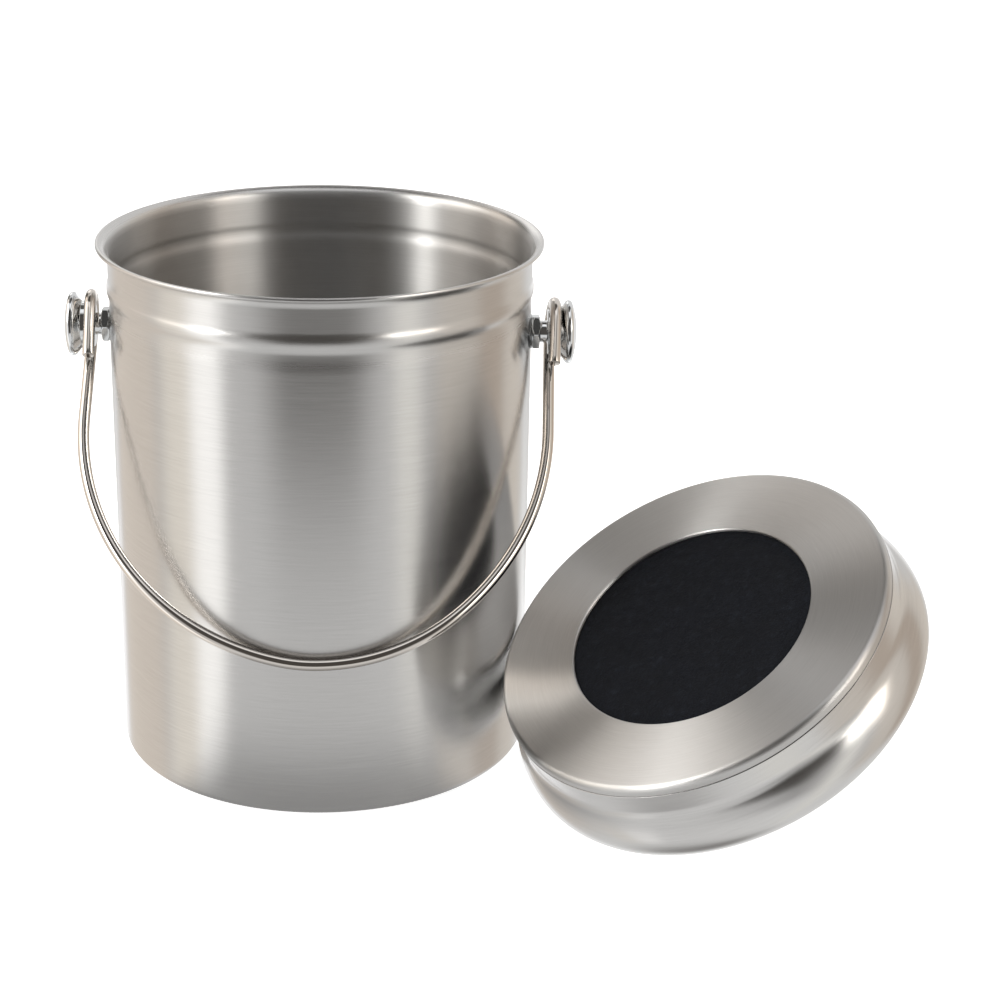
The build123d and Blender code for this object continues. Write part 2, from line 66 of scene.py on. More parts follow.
# ----------------------------------------------------------------- outline helpers
class Outline:
    """Tangent-continuous lines and arcs in the (radius, height) plane, read out as points."""

    def __init__(self, r, z, heading):
        self.p, self.h, self.segs = (r, z), math.radians(heading), []

    def line(self, length):
        q = (self.p[0] + length * math.cos(self.h), self.p[1] + length * math.sin(self.h))
        self.segs.append(("L", self.p, q, self.h))
        self.p = q
        return self

    def to_r(self, r):
        return self.line((r - self.p[0]) / math.cos(self.h))

    def to_z(self, z):
        return self.line((z - self.p[1]) / math.sin(self.h))

    def arc(self, radius, turn):
        t = math.radians(turn)
        s = 1.0 if t > 0 else -1.0
        c = (self.p[0] - s * radius * math.sin(self.h), self.p[1] + s * radius * math.cos(self.h))
        a0 = math.atan2(self.p[1] - c[1], self.p[0] - c[0])
        self.segs.append(("A", c, radius, a0, t))
        self.p = (c[0] + radius * math.cos(a0 + t), c[1] + radius * math.sin(a0 + t))
        self.h += t
        return self

    def jog(self, side, run):
        a = 2 * math.atan(abs(side) / run)
        rad = run / (2 * math.sin(a))
        s = 1 if side > 0 else -1
        return self.arc(rad, s * math.degrees(a)).arc(rad, -s * math.degrees(a))

    def points(self, off=0.0, step=4.0, turn=2.5):
        out = []
        for g in self.segs:
            if g[0] == "L":
                nx, nz = -math.sin(g[3]) * off, math.cos(g[3]) * off
                n = max(1, int(math.ceil(math.dist(g[1], g[2]) / step)))
                new = [(g[1][0] + (g[2][0] - g[1][0]) * k / n + nx, g[1][1] + (g[2][1] - g[1][1]) * k / n + nz) for k in range(n + 1)]
            else:
                _, c, rad, a0, t = g
                rr = rad - off if t > 0 else rad + off
                n = max(3, int(math.ceil(abs(math.degrees(t)) / turn)), int(math.ceil(abs(t) * rr / step)))
                new = [(c[0] + rr * math.cos(a0 + t * k / n), c[1] + rr * math.sin(a0 + t * k / n)) for k in range(n + 1)]
            out += new[1:] if out and math.dist(out[-1], new[0]) < 1e-6 else new
        return out


def arc_points(c, rad, a0, a1, n):
    return [(c[0] + rad * math.cos(math.radians(a0 + (a1 - a0) * k / n)),
             c[1] + rad * math.sin(math.radians(a0 + (a1 - a0) * k / n))) for k in range(n + 1)]


def arc3(a, b, c, n):
    """Points of the arc through three points."""
    ax, ay, bx, by, cx, cy = *a, *b, *c
    d = 2 * (ax * (by - cy) + bx * (cy - ay) + cx * (ay - by))
    ux = ((ax * ax + ay * ay) * (by - cy) + (bx * bx + by * by) * (cy - ay) + (cx * cx + cy * cy) * (ay - by)) / d
    uy = ((ax * ax + ay * ay) * (cx - bx) + (bx * bx + by * by) * (ax - cx) + (cx * cx + cy * cy) * (bx - ax)) / d
    a0, a1, a2 = (math.atan2(p[1] - uy, p[0] - ux) for p in (a, b, c))
    while a1 - a0 > math.pi: a1 -= 2 * math.pi
    while a1 - a0 < -math.pi: a1 += 2 * math.pi
    while a2 - a1 > math.pi: a2 -= 2 * math.pi
    while a2 - a1 < -math.pi: a2 += 2 * math.pi
    r = math.hypot(ax - ux, ay - uy)
    return [(ux + r * math.cos(a0 + (a2 - a0) * k / n), uy + r * math.sin(a0 + (a2 - a0) * k / n)) for k in range(n + 1)]


def fine(pts, step):
    """Straight runs of a closed outline cut into short steps."""
    out = []
    for i, p in enumerate(pts):
        q = pts[(i + 1) % len(pts)]
        n = max(1, int(math.ceil(math.dist(p, q) / step)))
        out += [(p[0] + (q[0] - p[0]) * k / n, p[1] + (q[1] - p[1]) * k / n) for k in range(n)]
    return out


def rounded(pts, rad, n=4):
    """A closed outline with each sharp corner given a small radius."""
    out, m = [], len(pts)
    for i in range(m):
        p, a, b = np.array(pts[i]), np.array(pts[i - 1]), np.array(pts[(i + 1) % m])
        u, v = a - p, b - p
        lu, lv = np.linalg.norm(u), np.linalg.norm(v)
        if p[0] < 1e-9 or lu < 1e-9 or lv < 1e-9:
            out.append(tuple(p)); continue
        u, v = u / lu, v / lv
        ang = math.acos(max(-1, min(1, float(u @ v))))
        if ang > math.radians(160):
            out.append(tuple(p)); continue
        t = min(rad / math.tan(ang / 2), 0.45 * lu, 0.45 * lv)
        r = t * math.tan(ang / 2)
        s, e = p + u * t, p + v * t
        w = (u + v) / np.linalg.norm(u + v)
        c = p + w * (r / math.sin(ang / 2))
        a0 = math.atan2(*(s - c)[::-1]); a1 = math.atan2(*(e - c)[::-1])
        while a1 - a0 > math.pi: a1 -= 2 * math.pi
        while a1 - a0 < -math.pi: a1 += 2 * math.pi
        out += [(float(c[0] + r * math.cos(a0 + (a1 - a0) * k / n)), float(c[1] + r * math.sin(a0 + (a1 - a0) * k / n))) for k in range(n + 1)]
    return out


# -------------------------------------------------------------------- mesh helpers
def make_object(name, co, faces, uv, sharp=32.0):
    me = bpy.data.meshes.new(name)
    me.from_pydata([tuple(map(float, p)) for p in co], [], faces)
    layer = me.uv_layers.new(name="around")
    flat = np.array([c for f in uv for c in f], np.float32).reshape(-1)
    layer.data.foreach_set("uv", flat)
    me.polygons.foreach_set("use_smooth", np.ones(len(me.polygons), bool))
    me.validate()
    me.set_sharp_from_angle(angle=math.radians(sharp))
    me.update()
    ob = bpy.data.objects.new(name, me)
    bpy.context.scene.collection.objects.link(ob)
    return ob


def to_world(co, M):
    co = np.asarray(co, float)
    A = np.array(M, float)
    return (co @ A[:3, :3].T + A[:3, 3]) * MM


def lathe(name, outline, seg, M=Matrix.Identity(4), start=90.0, holes=(), sharp=32.0, wobble=None):
    """Revolves a closed outline about the local Z. holes: (column, half columns, rows, punch) patches."""
    pts = [tuple(p) for p in outline]
    if sum(pts[i - 1][0] * pts[i][1] - pts[i][0] * pts[i - 1][1] for i in range(len(pts))) < 0:
        pts.reverse()
    # both ends on the axis: start there
    on = [i for i, p in enumerate(pts) if p[0] < 1e-6]
    closed = not on
    if on:
        k = next(i for i in on if pts[(i + 1) % len(pts)][0] >= 1e-6)
        pts = pts[k:] + pts[:k]
    m = len(pts)
    s = [0.0]
    for i in range(1, m + 1):
        s.append(s[-1] + math.dist(pts[i - 1], pts[i % m]) * MM)
    th = np.radians(start) + np.arange(seg) * 2 * math.pi / seg
    co, idx = [], []
    for r, z in pts:
        if r < 1e-6:
            idx.append([len(co)] * seg)
            co.append((0, 0, z))
        else:
            b = len(co)
            idx.append(list(range(b, b + seg)))
            co += [(r * c, r * d, z) for c, d in zip(np.cos(th), np.sin(th))]
    faces, uv, skip = [], [], set()
    for h in holes:
        for i in range(h["row0"], h["row1"]):
            for j in range(h["col"] - h["half"], h["col"] + h["half"]):
                skip.add((i, j % seg))
    for i in range(m if closed else m - 1):
        a, b = idx[i], idx[(i + 1) % m]
        if pts[i][0] < 1e-6 and pts[(i + 1) % m][0] < 1e-6:
            continue
        for j in range(seg):
            if (i, j) in skip:
                continue
            k = (j + 1) % seg
            u0, u1, v0, v1 = j / seg, (j + 1) / seg, s[i], s[i + 1]
            if pts[i][0] < 1e-6:
                faces.append((a[0], b[k], b[j])); uv.append(((u0 + .5 / seg, v0), (u1, v1), (u0, v1)))
            elif pts[(i + 1) % m][0] < 1e-6:
                faces.append((a[j], a[k], b[0])); uv.append(((u0, v0), (u1, v0), (u0 + .5 / seg, v1)))
            else:
                faces.append((a[j], a[k], b[k], b[j])); uv.append(((u0, v0), (u1, v0), (u1, v1), (u0, v1)))
    # round holes: rings between each square patch's edge and the hole, on both skins, then the hole's wall
    by_hole = {}
    for h in holes:
        r0, r1, c, hf = h["row0"], h["row1"], h["col"], h["half"]
        loop = [(r0, j) for j in range(c - hf, c + hf)] + [(i, c + hf) for i in range(r0, r1)] + \
               [(r1, j) for j in range(c + hf, c - hf, -1)] + [(i, c - hf) for i in range(r1, r0, -1)]
        flat = [h["flat"](np.array(co[idx[i][j % seg]])) for i, j in loop]
        ang = [math.atan2(y, x) for x, y in flat]
        rim = [(h["radius"] * math.cos(a), h["radius"] * math.sin(a)) for a in ang]
        before = [idx[i][j % seg] for i, j in loop]
        uvs = [(j / seg, s[i]) for i, j in loop]
        mid = (c / seg, (s[r0] + s[r1]) / 2)
        rings = 4
        for q in range(1, rings + 1):
            t = q / rings
            now, uvn = [], []
            for (fx, fy), (gx, gy), w in zip(flat, rim, uvs_at(uvs, loop, seg, s, t, mid, flat, rim)):
                now.append(len(co))
                co.append(tuple(h["back"](fx + (gx - fx) * t, fy + (gy - fy) * t)))
                uvn.append(w)
            for k in range(len(loop)):
                l = (k + 1) % len(loop)
                faces.append((before[k], before[l], now[l], now[k]))
                uv.append((uvs_prev[k] if q > 1 else uvs[k], uvs_prev[l] if q > 1 else uvs[l], uvn[l], uvn[k]))
            before, uvs_prev = now, uvn
        by_hole.setdefault(h["key"], []).append((before, [math.atan2(y, x) for x, y in rim], uvs_prev))
    for key, skins in by_hole.items():
        (a, aa, ua), (b, ab, ub) = skins
        order_b = sorted(range(len(b)), key=lambda k: ab[k])
        order_a = sorted(range(len(a)), key=lambda k: aa[k])
        for k in range(len(a)):
            l = (k + 1) % len(a)
            p, q2, r2, t2 = a[order_a[k]], a[order_a[l]], b[order_b[l]], b[order_b[k]]
            faces.append((p, q2, r2, t2))
            uv.append((ua[order_a[k]], ua[order_a[l]], ub[order_b[l]], ub[order_b[k]]))
    co = np.array(co, float)
    if wobble is not None:
        co = wobble(co)
    ob = make_object(name, to_world(co, M), faces, uv, sharp)
    if holes:
        import bmesh
        bm = bmesh.new()
        bm.from_mesh(ob.data)
        bmesh.ops.recalc_face_normals(bm, faces=bm.faces)
        bm.to_mesh(ob.data)
        bm.free()
        ob.data.set_sharp_from_angle(angle=math.radians(sharp))
    return ob


def uvs_at(uvs, loop, seg, s, t, mid, flat, rim):
    out = []
    for (u, v), (fx, fy), (gx, gy) in zip(uvs, flat, rim):
        k = math.hypot(fx + (gx - fx) * t, fy + (gy - fy) * t) / max(1e-9, math.hypot(fx, fy))
        out.append((mid[0] + (u - mid[0]) * k, mid[1] + (v - mid[1]) * k))
    return out


def tube(name, path, radius, sides=36, chamfer=0.35, sharp=32.0):
    """A round wire along a path of points in mm, with broken edges at its cut ends."""
    P = np.array(path, float)
    T = np.gradient(P, axis=0)
    T /= np.linalg.norm(T, axis=1)[:, None]
    ref = np.cross(T[0], [0, 0, 1.0])
    if np.linalg.norm(ref) < 0.1:
        ref = np.cross(T[0], [0, 1.0, 0])
    N = [ref / np.linalg.norm(ref)]
    for i in range(1, len(P)):
        n = N[-1] - T[i] * (N[-1] @ T[i])
        N.append(n / np.linalg.norm(n))
    th = np.arange(sides) * 2 * math.pi / sides
    rows = []
    d = np.r_[0, np.cumsum(np.linalg.norm(np.diff(P, axis=0), axis=1))]
    plan = []
    for q in range(4):
        a = math.radians(90 * q / 3)
        plan.append((0, radius - chamfer + chamfer * math.sin(a), -0.0 + chamfer * (1 - math.cos(a))))
    plan = [(0, radius - chamfer + chamfer * math.sin(math.radians(22.5 * q)), chamfer * (1 - math.cos(math.radians(22.5 * q)))) for q in range(5)]
    for _, r, off in plan:
        rows.append((P[0] + T[0] * off, N[0], np.cross(T[0], N[0]), r, d[0] + off))
    for i in range(1, len(P) - 1):
        if d[i] < chamfer * 1.2 or d[-1] - d[i] < chamfer * 1.2:
            continue
        rows.append((P[i], N[i], np.cross(T[i], N[i]), radius, d[i]))
    for _, r, off in reversed(plan):
        rows.append((P[-1] - T[-1] * off, N[-1], np.cross(T[-1], N[-1]), r, d[-1] - off))
    co, faces, uv = [], [], []
    for c, n, b, r, _ in rows:
        co += [tuple((c + n * (r * math.cos(a)) + b * (r * math.sin(a))) * MM) for a in th]
    for i in range(len(rows) - 1):
        for j in range(sides):
            k = (j + 1) % sides
            faces.append((i * sides + j, i * sides + k, (i + 1) * sides + k, (i + 1) * sides + j))
            u0, u1, v0, v1 = j / sides, (j + 1) / sides, rows[i][4] * MM, rows[i + 1][4] * MM
            uv.append(((u0, v0), (u1, v0), (u1, v1), (u0, v1)))
    for row, rev in ((0, True), (len(rows) - 1, False)):
        c = len(co)
        co.append(tuple(rows[row][0] * MM))
        for j in range(sides):
            k = (j + 1) % sides
            f = (row * sides + j, row * sides + k, c)
            faces.append(f[::-1] if rev else f)
            uv.append(((0, 0), (0.01, 0), (0.01, 0.0001)))
    return make_object(name, co, faces, uv, sharp)


# ------------------------------------------------------------------ shader helpers
class Graph:
    """Short forms for building node trees."""

    def __init__(self, tree):
        self.t, self.n = tree, tree.nodes

    def node(self, kind, **inputs):
        nd = self.n.new(kind)
        for k, v in inputs.items():
            if k in ("operation", "blend_type", "data_type", "noise_dimensions", "interpolation_type", "distance", "feature", "direction_type", "uv_map", "clamp", "use_clamp", "noise_type", "normalize", "axis"):
                setattr(nd, k, v)
            else:
                self.set(nd, k, v)
        return nd

    def set(self, nd, k, v):
        sock = nd.inputs[int(k[1:])] if k[0] == "i" and k[1:].isdigit() else nd.inputs[k.replace("_", " ")]
        if isinstance(v, bpy.types.NodeSocket):
            self.t.links.new(v, sock)
        else:
            sock.default_value = v

    def math(self, op, a, b=0.0, c=0.0, clamp=False):
        nd = self.n.new("ShaderNodeMath")
        nd.operation, nd.use_clamp = op, clamp
        for i, v in enumerate((a, b, c)):
            if isinstance(v, bpy.types.NodeSocket):
                self.t.links.new(v, nd.inputs[i])
            else:
                nd.inputs[i].default_value = v
        return nd.outputs[0]

    def ramp(self, x, a, b, lo=0.0, hi=1.0, kind="SMOOTHSTEP"):
        nd = self.n.new("ShaderNodeMapRange")
        nd.interpolation_type = kind
        nd.clamp = True
        for i, v in enumerate((x, a, b, lo, hi)):
            if isinstance(v, bpy.types.NodeSocket):
                self.t.links.new(v, nd.inputs[i])
            else:
                nd.inputs[i].default_value = v
        return nd.outputs[0]

    def mix(self, fac, a, b, kind="MIX"):
        nd = self.n.new("ShaderNodeMix")
        nd.data_type, nd.blend_type = "RGBA", kind
        for i, v in ((0, fac), (6, a), (7, b)):
            if isinstance(v, bpy.types.NodeSocket):
                self.t.links.new(v, nd.inputs[i])
            else:
                nd.inputs[i].default_value = v
        return nd.outputs[2]

    def combine(self, x, y, z):
        nd = self.n.new("ShaderNodeCombineXYZ")
        for i, v in enumerate((x, y, z)):
            if isinstance(v, bpy.types.NodeSocket):
                self.t.links.new(v, nd.inputs[i])
            else:
                nd.inputs[i].default_value = v
        return nd.outputs[0]

    def noise(self, vec, scale=1.0, detail=2.0, rough=0.5):
        nd = self.n.new("ShaderNodeTexNoise")
        nd.noise_dimensions = "3D"
        self.t.links.new(vec, nd.inputs["Vector"])
        nd.inputs["Scale"].default_value = scale
        nd.inputs["Detail"].default_value = detail
        nd.inputs["Roughness"].default_value = rough
        return nd.outputs["Fac"]


def new_material(name):
    m = bpy.data.materials.new(name)
    m.use_nodes = True
    m.node_tree.nodes.clear()
    g = Graph(m.node_tree)
    out = g.node("ShaderNodeOutputMaterial")
    b = g.node("ShaderNodeBsdfPrincipled")
    m.node_tree.links.new(b.outputs[0], out.inputs["Surface"])
    return m, g, b


def uv_parts(g):
    u = g.node("ShaderNodeUVMap", uv_map="around")
    s = g.node("ShaderNodeSeparateXYZ")
    g.t.links.new(u.outputs[0], s.inputs[0])
    return s.outputs[0], s.outputs[1]


def brushed(name, base, warm, rough=0.25, aniso=0.72, grain=2500.0, run=3.2, bump=0.12, blotch=0.012, inside=None):
    """Steel brushed along U: streaks that are long round the part and very thin across it."""
    m, g, b = new_material(name)
    u, v = uv_parts(g)
    turn = g.math("MULTIPLY", u, 2 * math.pi)
    cs, sn = g.math("COSINE", turn), g.math("SINE", turn)

    def streaks(per_metre, k, detail, rough_):
        return g.noise(g.combine(g.math("MULTIPLY", v, per_metre), g.math("MULTIPLY", cs, k), g.math("MULTIPLY", sn, k)), 1.0, detail, rough_)

    coarse = streaks(grain * 0.35, run * 0.6, 2.0, 0.5)
    mid = streaks(grain, run, 2.0, 0.6)
    thin = streaks(grain * 3.3, run * 3.0, 1.0, 0.5)
    cloud = g.noise(g.combine(g.math("MULTIPLY", v, 38.0), g.math("MULTIPLY", cs, 3.0), g.math("MULTIPLY", sn, 3.0)), 1.0, 2.0, 0.5)
    mix1 = g.math("ADD", g.math("MULTIPLY", mid, 0.5), g.math("MULTIPLY", thin, 0.5))
    lines = g.math("ADD", g.math("MULTIPLY", mix1, 0.9), g.math("MULTIPLY", coarse, 0.1))
    shade = g.ramp(lines, 0.34, 0.66, 0.0, 1.0, "LINEAR")
    tone = g.mix(shade, (base[0] * 0.945, base[1] * 0.945, base[2] * 0.945, 1), (min(1, base[0] * 1.045), min(1, base[1] * 1.045), min(1, base[2] * 1.045), 1))
    tint = g.ramp(cloud, 0.35, 0.65, 0.0, blotch * 6, "SMOOTHSTEP")
    g.set(b, "Base Color", g.mix(tint, tone, (*warm, 1)))
    g.set(b, "Metallic", 1.0)
    rr = g.ramp(lines, 0.3, 0.7, rough * 0.93, rough * 1.07, "LINEAR")
    g.set(b, "Roughness", g.math("ADD", rr, g.math("MULTIPLY", g.math("SUBTRACT", cloud, 0.5), 0.02)))
    b.inputs["Anisotropic"].default_value = aniso
    if inside:
        # the inside is brushed harder: it faces the axis, below the flare
        obj = g.node("ShaderNodeTexCoord")
        pos, nor = g.node("ShaderNodeSeparateXYZ"), g.node("ShaderNodeSeparateXYZ")
        g.t.links.new(obj.outputs["Object"], pos.inputs[0])
        g.t.links.new(obj.outputs["Normal"], nor.inputs[0])
        facing = g.math("ADD", g.math("MULTIPLY", pos.outputs[0], nor.outputs[0]), g.math("MULTIPLY", pos.outputs[1], nor.outputs[1]))
        within = g.math("MULTIPLY", g.ramp(facing, -0.04, -0.02, 1.0, 0.0), g.ramp(pos.outputs[2], 0.2142, 0.2172, 1.0, 0.0))
        rr = g.math("ADD", rr, g.math("MULTIPLY", within, inside[0] - rough))
        # the bead and flare were worked after brushing and are duller
        worked = g.math("MULTIPLY", g.ramp(pos.outputs[2], 0.186, 0.193), g.ramp(facing, -0.04, -0.02))
        rr = g.math("ADD", rr, g.math("MULTIPLY", worked, 0.055))
        g.set(b, "Roughness", rr)
        g.set(b, "Anisotropic", g.math("ADD", g.math("MULTIPLY", within, inside[1] - aniso), aniso))
    b.inputs["Anisotropic Rotation"].default_value = 0.25
    tan = g.node("ShaderNodeTangent", direction_type="UV_MAP", uv_map="around")
    g.t.links.new(tan.outputs[0], b.inputs["Tangent"])
    bp = g.node("ShaderNodeBump")
    bp.inputs["Strength"].default_value = bump
    bp.inputs["Distance"].default_value = 0.00006
    g.t.links.new(lines, bp.inputs["Height"])
    g.t.links.new(bp.outputs[0], b.inputs["Normal"])
    return m


def polished(name, base, rough=0.08, drawn=True, tint=(0.62, 0.55, 0.47)):
    """Bright plate or polished wire, with faint lengthwise lines and uneven polish."""
    m, g, b = new_material(name)
    u, v = uv_parts(g)
    turn = g.math("MULTIPLY", u, 2 * math.pi)
    cs, sn = g.math("COSINE", turn), g.math("SINE", turn)
    lines = g.noise(g.combine(g.math("MULTIPLY", v, 60.0), g.math("MULTIPLY", cs, 9.0 if drawn else 2.0), g.math("MULTIPLY", sn, 9.0 if drawn else 2.0)), 1.0, 3.0, 0.6)
    obj = g.node("ShaderNodeTexCoord")
    spots = g.noise(obj.outputs["Object"], 900.0, 3.0, 0.6)
    g.set(b, "Base Color", g.mix(g.ramp(lines, 0.35, 0.75, 0.0, 0.35), (*base, 1), (*tint, 1)))
    g.set(b, "Metallic", 1.0)
    g.set(b, "Roughness", g.ramp(spots, 0.3, 0.8, rough * 0.85, rough * 1.2))
    bp = g.node("ShaderNodeBump")
    bp.inputs["Strength"].default_value = 0.04 if drawn else 0.02
    bp.inputs["Distance"].default_value = 0.00003
    g.t.links.new(lines, bp.inputs["Height"])
    g.t.links.new(bp.outputs[0], b.inputs["Normal"])
    return m


def plain_metal(name, base, rough):
    """Metal for the carried-over parts, which have no UVs: grain in object space."""
    m, g, b = new_material(name)
    obj = g.node("ShaderNodeTexCoord")
    n1 = g.noise(obj.outputs["Object"], 1400.0, 3.0, 0.6)
    n2 = g.noise(obj.outputs["Object"], 120.0, 2.0, 0.5)
    g.set(b, "Base Color", g.mix(g.ramp(n2, 0.3, 0.7), (base[0] * 0.85, base[1] * 0.85, base[2] * 0.85, 1), (*base, 1)))
    g.set(b, "Metallic", 1.0)
    g.set(b, "Roughness", g.ramp(n1, 0.3, 0.7, rough * 0.85, rough * 1.15))
    bp = g.node("ShaderNodeBump")
    bp.inputs["Strength"].default_value = 0.12
    bp.inputs["Distance"].default_value = 0.00004
    g.t.links.new(n1, bp.inputs["Height"])
    g.t.links.new(bp.outputs[0], b.inputs["Normal"])
    return m


STEEL = (0.610, 0.605, 0.598)
mat_pail = brushed("steel_brushed_pail", STEEL, (0.60, 0.585, 0.565), rough=0.235, aniso=0.74, inside=(0.42, 1.0))
mat_lid = brushed("steel_brushed_lid", STEEL, (0.60, 0.585, 0.565), rough=0.22, aniso=0.60)
mat_ring = brushed("steel_turned_ring", STEEL, (0.60, 0.58, 0.56), rough=0.34, aniso=0.95, grain=2100.0, run=3.0)
mat_wire = polished("steel_polished_wire", (0.68, 0.645, 0.61), rough=0.06)
mat_chrome = polished("chrome_plate", (0.74, 0.755, 0.765), rough=0.035, drawn=False, tint=(0.66, 0.67, 0.69))
mat_nut = polished("bright_nut", (0.66, 0.68, 0.69), rough=0.09, drawn=False, tint=(0.54, 0.55, 0.57))
mat_bolt = plain_metal("bright_bolt", (0.60, 0.62, 0.64), 0.2)
mat_mill = plain_metal("mill_steel", (0.55, 0.54, 0.53), 0.4)


def rubber(name):
    m, g, b = new_material(name)
    obj = g.node("ShaderNodeTexCoord")
    n1 = g.noise(obj.outputs["Object"], 900.0, 3.0, 0.6)
    g.set(b, "Base Color", g.mix(n1, (0.028, 0.028, 0.029, 1), (0.06, 0.06, 0.058, 1)))
    g.set(b, "Roughness", g.ramp(n1, 0.3, 0.7, 0.6, 0.8))
    bp = g.node("ShaderNodeBump")
    bp.inputs["Strength"].default_value = 0.3
    bp.inputs["Distance"].default_value = 0.0001
    g.t.links.new(n1, bp.inputs["Height"])
    g.t.links.new(bp.outputs[0], b.inputs["Normal"])
    return m


def felt(name):
    """Needled charcoal felt: near black with a blue cast, short fibres and faint lint."""
    m, g, b = new_material(name)
    obj = g.node("ShaderNodeTexCoord")
    o = obj.outputs["Object"]
    warp = g.node("ShaderNodeVectorMath")
    warp.operation = "SCALE"
    g.t.links.new(o, warp.inputs[0])
    warp.inputs["Scale"].default_value = 1.0
    n1 = g.noise(warp.outputs[0], 1500.0, 4.0, 0.65)
    n2 = g.noise(o, 240.0, 3.0, 0.6)
    n3 = g.noise(o, 45.0, 2.0, 0.5)
    col = g.mix(g.ramp(n1, 0.35, 0.8), (0.0034, 0.0042, 0.0070, 1), (0.0112, 0.0142, 0.0220, 1))
    col = g.mix(g.ramp(n2, 0.52, 0.78, 0.0, 0.6), col, (0.016, 0.020, 0.029, 1))
    col = g.mix(g.ramp(n3, 0.3, 0.7, 0.0, 0.35), col, (0.004, 0.0045, 0.006, 1))
    g.set(b, "Base Color", col)
    b.inputs["Roughness"].default_value = 0.95
    b.inputs["Specular IOR Level"].default_value = 0.15
    b.inputs["Sheen Weight"].default_value = 0.06
    b.inputs["Sheen Roughness"].default_value = 0.5
    bp = g.node("ShaderNodeBump")
    bp.inputs["Strength"].default_value = 0.8
    bp.inputs["Distance"].default_value = 0.0004
    g.t.links.new(g.math("ADD", n1, g.math("MULTIPLY", n2, 0.8)), bp.inputs["Height"])
    g.t.links.new(bp.outputs[0], b.inputs["Normal"])
    return m


mat_rubber = rubber("grey_rubber")
mat_felt = felt("charcoal_felt")


def dress(ob, mat, body, *nodes, slot=None):
    ob.data.materials.clear()
    ob.data.materials.append(mat)
    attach(ob, body)
    if nodes:
        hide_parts(*nodes)
    return ob


# ------------------------------------------------------------------------ the pail
SEG = 384
cosT, sinT = math.cos(math.radians(HEM_TURN)), math.sin(math.radians(HEM_TURN))
inner_r = BODY_R - WALL
flare_c = (RIM_R - HEM_R - cosT * (inner_r + HEM_R)) / (1 - cosT)
flare_i, flare_o = flare_c - inner_r, flare_c - BODY_R
flare_z = RIM_H - HEM_R - sinT * (flare_i - HEM_R)
HOLE_H = 6.0

wall = Outline(0.0, 0.0, 0)
wall.to_r(50.0).jog(1.0, 3.0).line(3.0).jog(-1.0, 3.0)
wall.to_r(BODY_R - BASE_CORNER_R).arc(BASE_CORNER_R, 90)
wall.to_z(PIVOT_Z_R - HOLE_H)
rows_z = sorted({round(z, 3) for c in (PIVOT_Z_L, PIVOT_Z_R) for z in np.linspace(c - HOLE_H, c + HOLE_H, 9)})
for z in rows_z[1:]:
    wall.to_z(z)
wall.to_z(BEAD_START)
wall.jog(NECK_IN, NECK_RUN).jog(-(NECK_IN + BULGE_OUT), STEEP_RUN).jog(BULGE_OUT, FADE_RUN)
wall.to_z(flare_z)
F = (flare_c, flare_z)
a_fold, fold_end = 180 - HEM_TURN, 180 - 48.0
hem_c = (F[0] + (flare_i - HEM_R) * math.cos(math.radians(a_fold)), F[1] + (flare_i - HEM_R) * math.sin(math.radians(a_fold)))
under_r = flare_i - 2 * HEM_R
fold = arc_points(F, flare_o, 180, fold_end, 22)
cut = arc_points(F, under_r, fold_end, a_fold, 12)
# the cut edge of the folded hem is a little rounded
rim = fold[1:] + [((fold[-1][0] * (1 - k) + cut[0][0] * k), (fold[-1][1] * (1 - k) + cut[0][1] * k)) for k in (0.12, 0.5, 0.88)] + cut
rim += arc_points(hem_c, HEM_R, a_fold - 180, a_fold, 24)[1:]
rim += arc_points(F, flare_i, a_fold, 180, 30)[1:]
outer, inner = wall.points(0.0), wall.points(WALL)
profile = outer + rim + inner[::-1][1:]


def wall_hole(key, sx, r, rows):
    th0, ear_z = (0.0, PIVOT_Z_R) if sx > 0 else (math.pi, PIVOT_Z_L)
    col = int(round(((math.degrees(th0) - 90.0) % 360) / 360 * SEG))
    return {"key": key, "col": col, "half": 5, "row0": rows[0], "row1": rows[1], "radius": BOLT_HOLE_R,
            "flat": lambda p: (r * ((math.atan2(p[1], p[0]) - th0 + math.pi) % (2 * math.pi) - math.pi), p[2] - ear_z),
            "back": lambda x, y: (r * math.cos(th0 + x / r), r * math.sin(th0 + x / r), ear_z + y)}


def rows_between(pts, r, z0, z1):
    hit = [i for i, p in enumerate(pts) if abs(p[0] - r) < 1e-4 and z0 - 1e-4 <= p[1] <= z1 + 1e-4]
    return min(hit), max(hit)


# lathe() may reverse the outline, so the rows are found on the outline in its final order
def final_order(pts):
    pts = list(pts)
    if sum(pts[i - 1][0] * pts[i][1] - pts[i][0] * pts[i - 1][1] for i in range(len(pts))) < 0:
        pts.reverse()
    on = [i for i, p in enumerate(pts) if p[0] < 1e-6]
    if on:
        k = next(i for i in on if pts[(i + 1) % len(pts)][0] >= 1e-6)
        pts = pts[k:] + pts[:k]
    return pts


profile = final_order(profile)
holes = []
for key, sx, ear_z in (("left", -1, PIVOT_Z_L), ("right", 1, PIVOT_Z_R)):
    for r in (BODY_R, inner_r):
        holes.append(wall_hole(key, sx, r, rows_between(profile, r, ear_z - HOLE_H, ear_z + HOLE_H)))


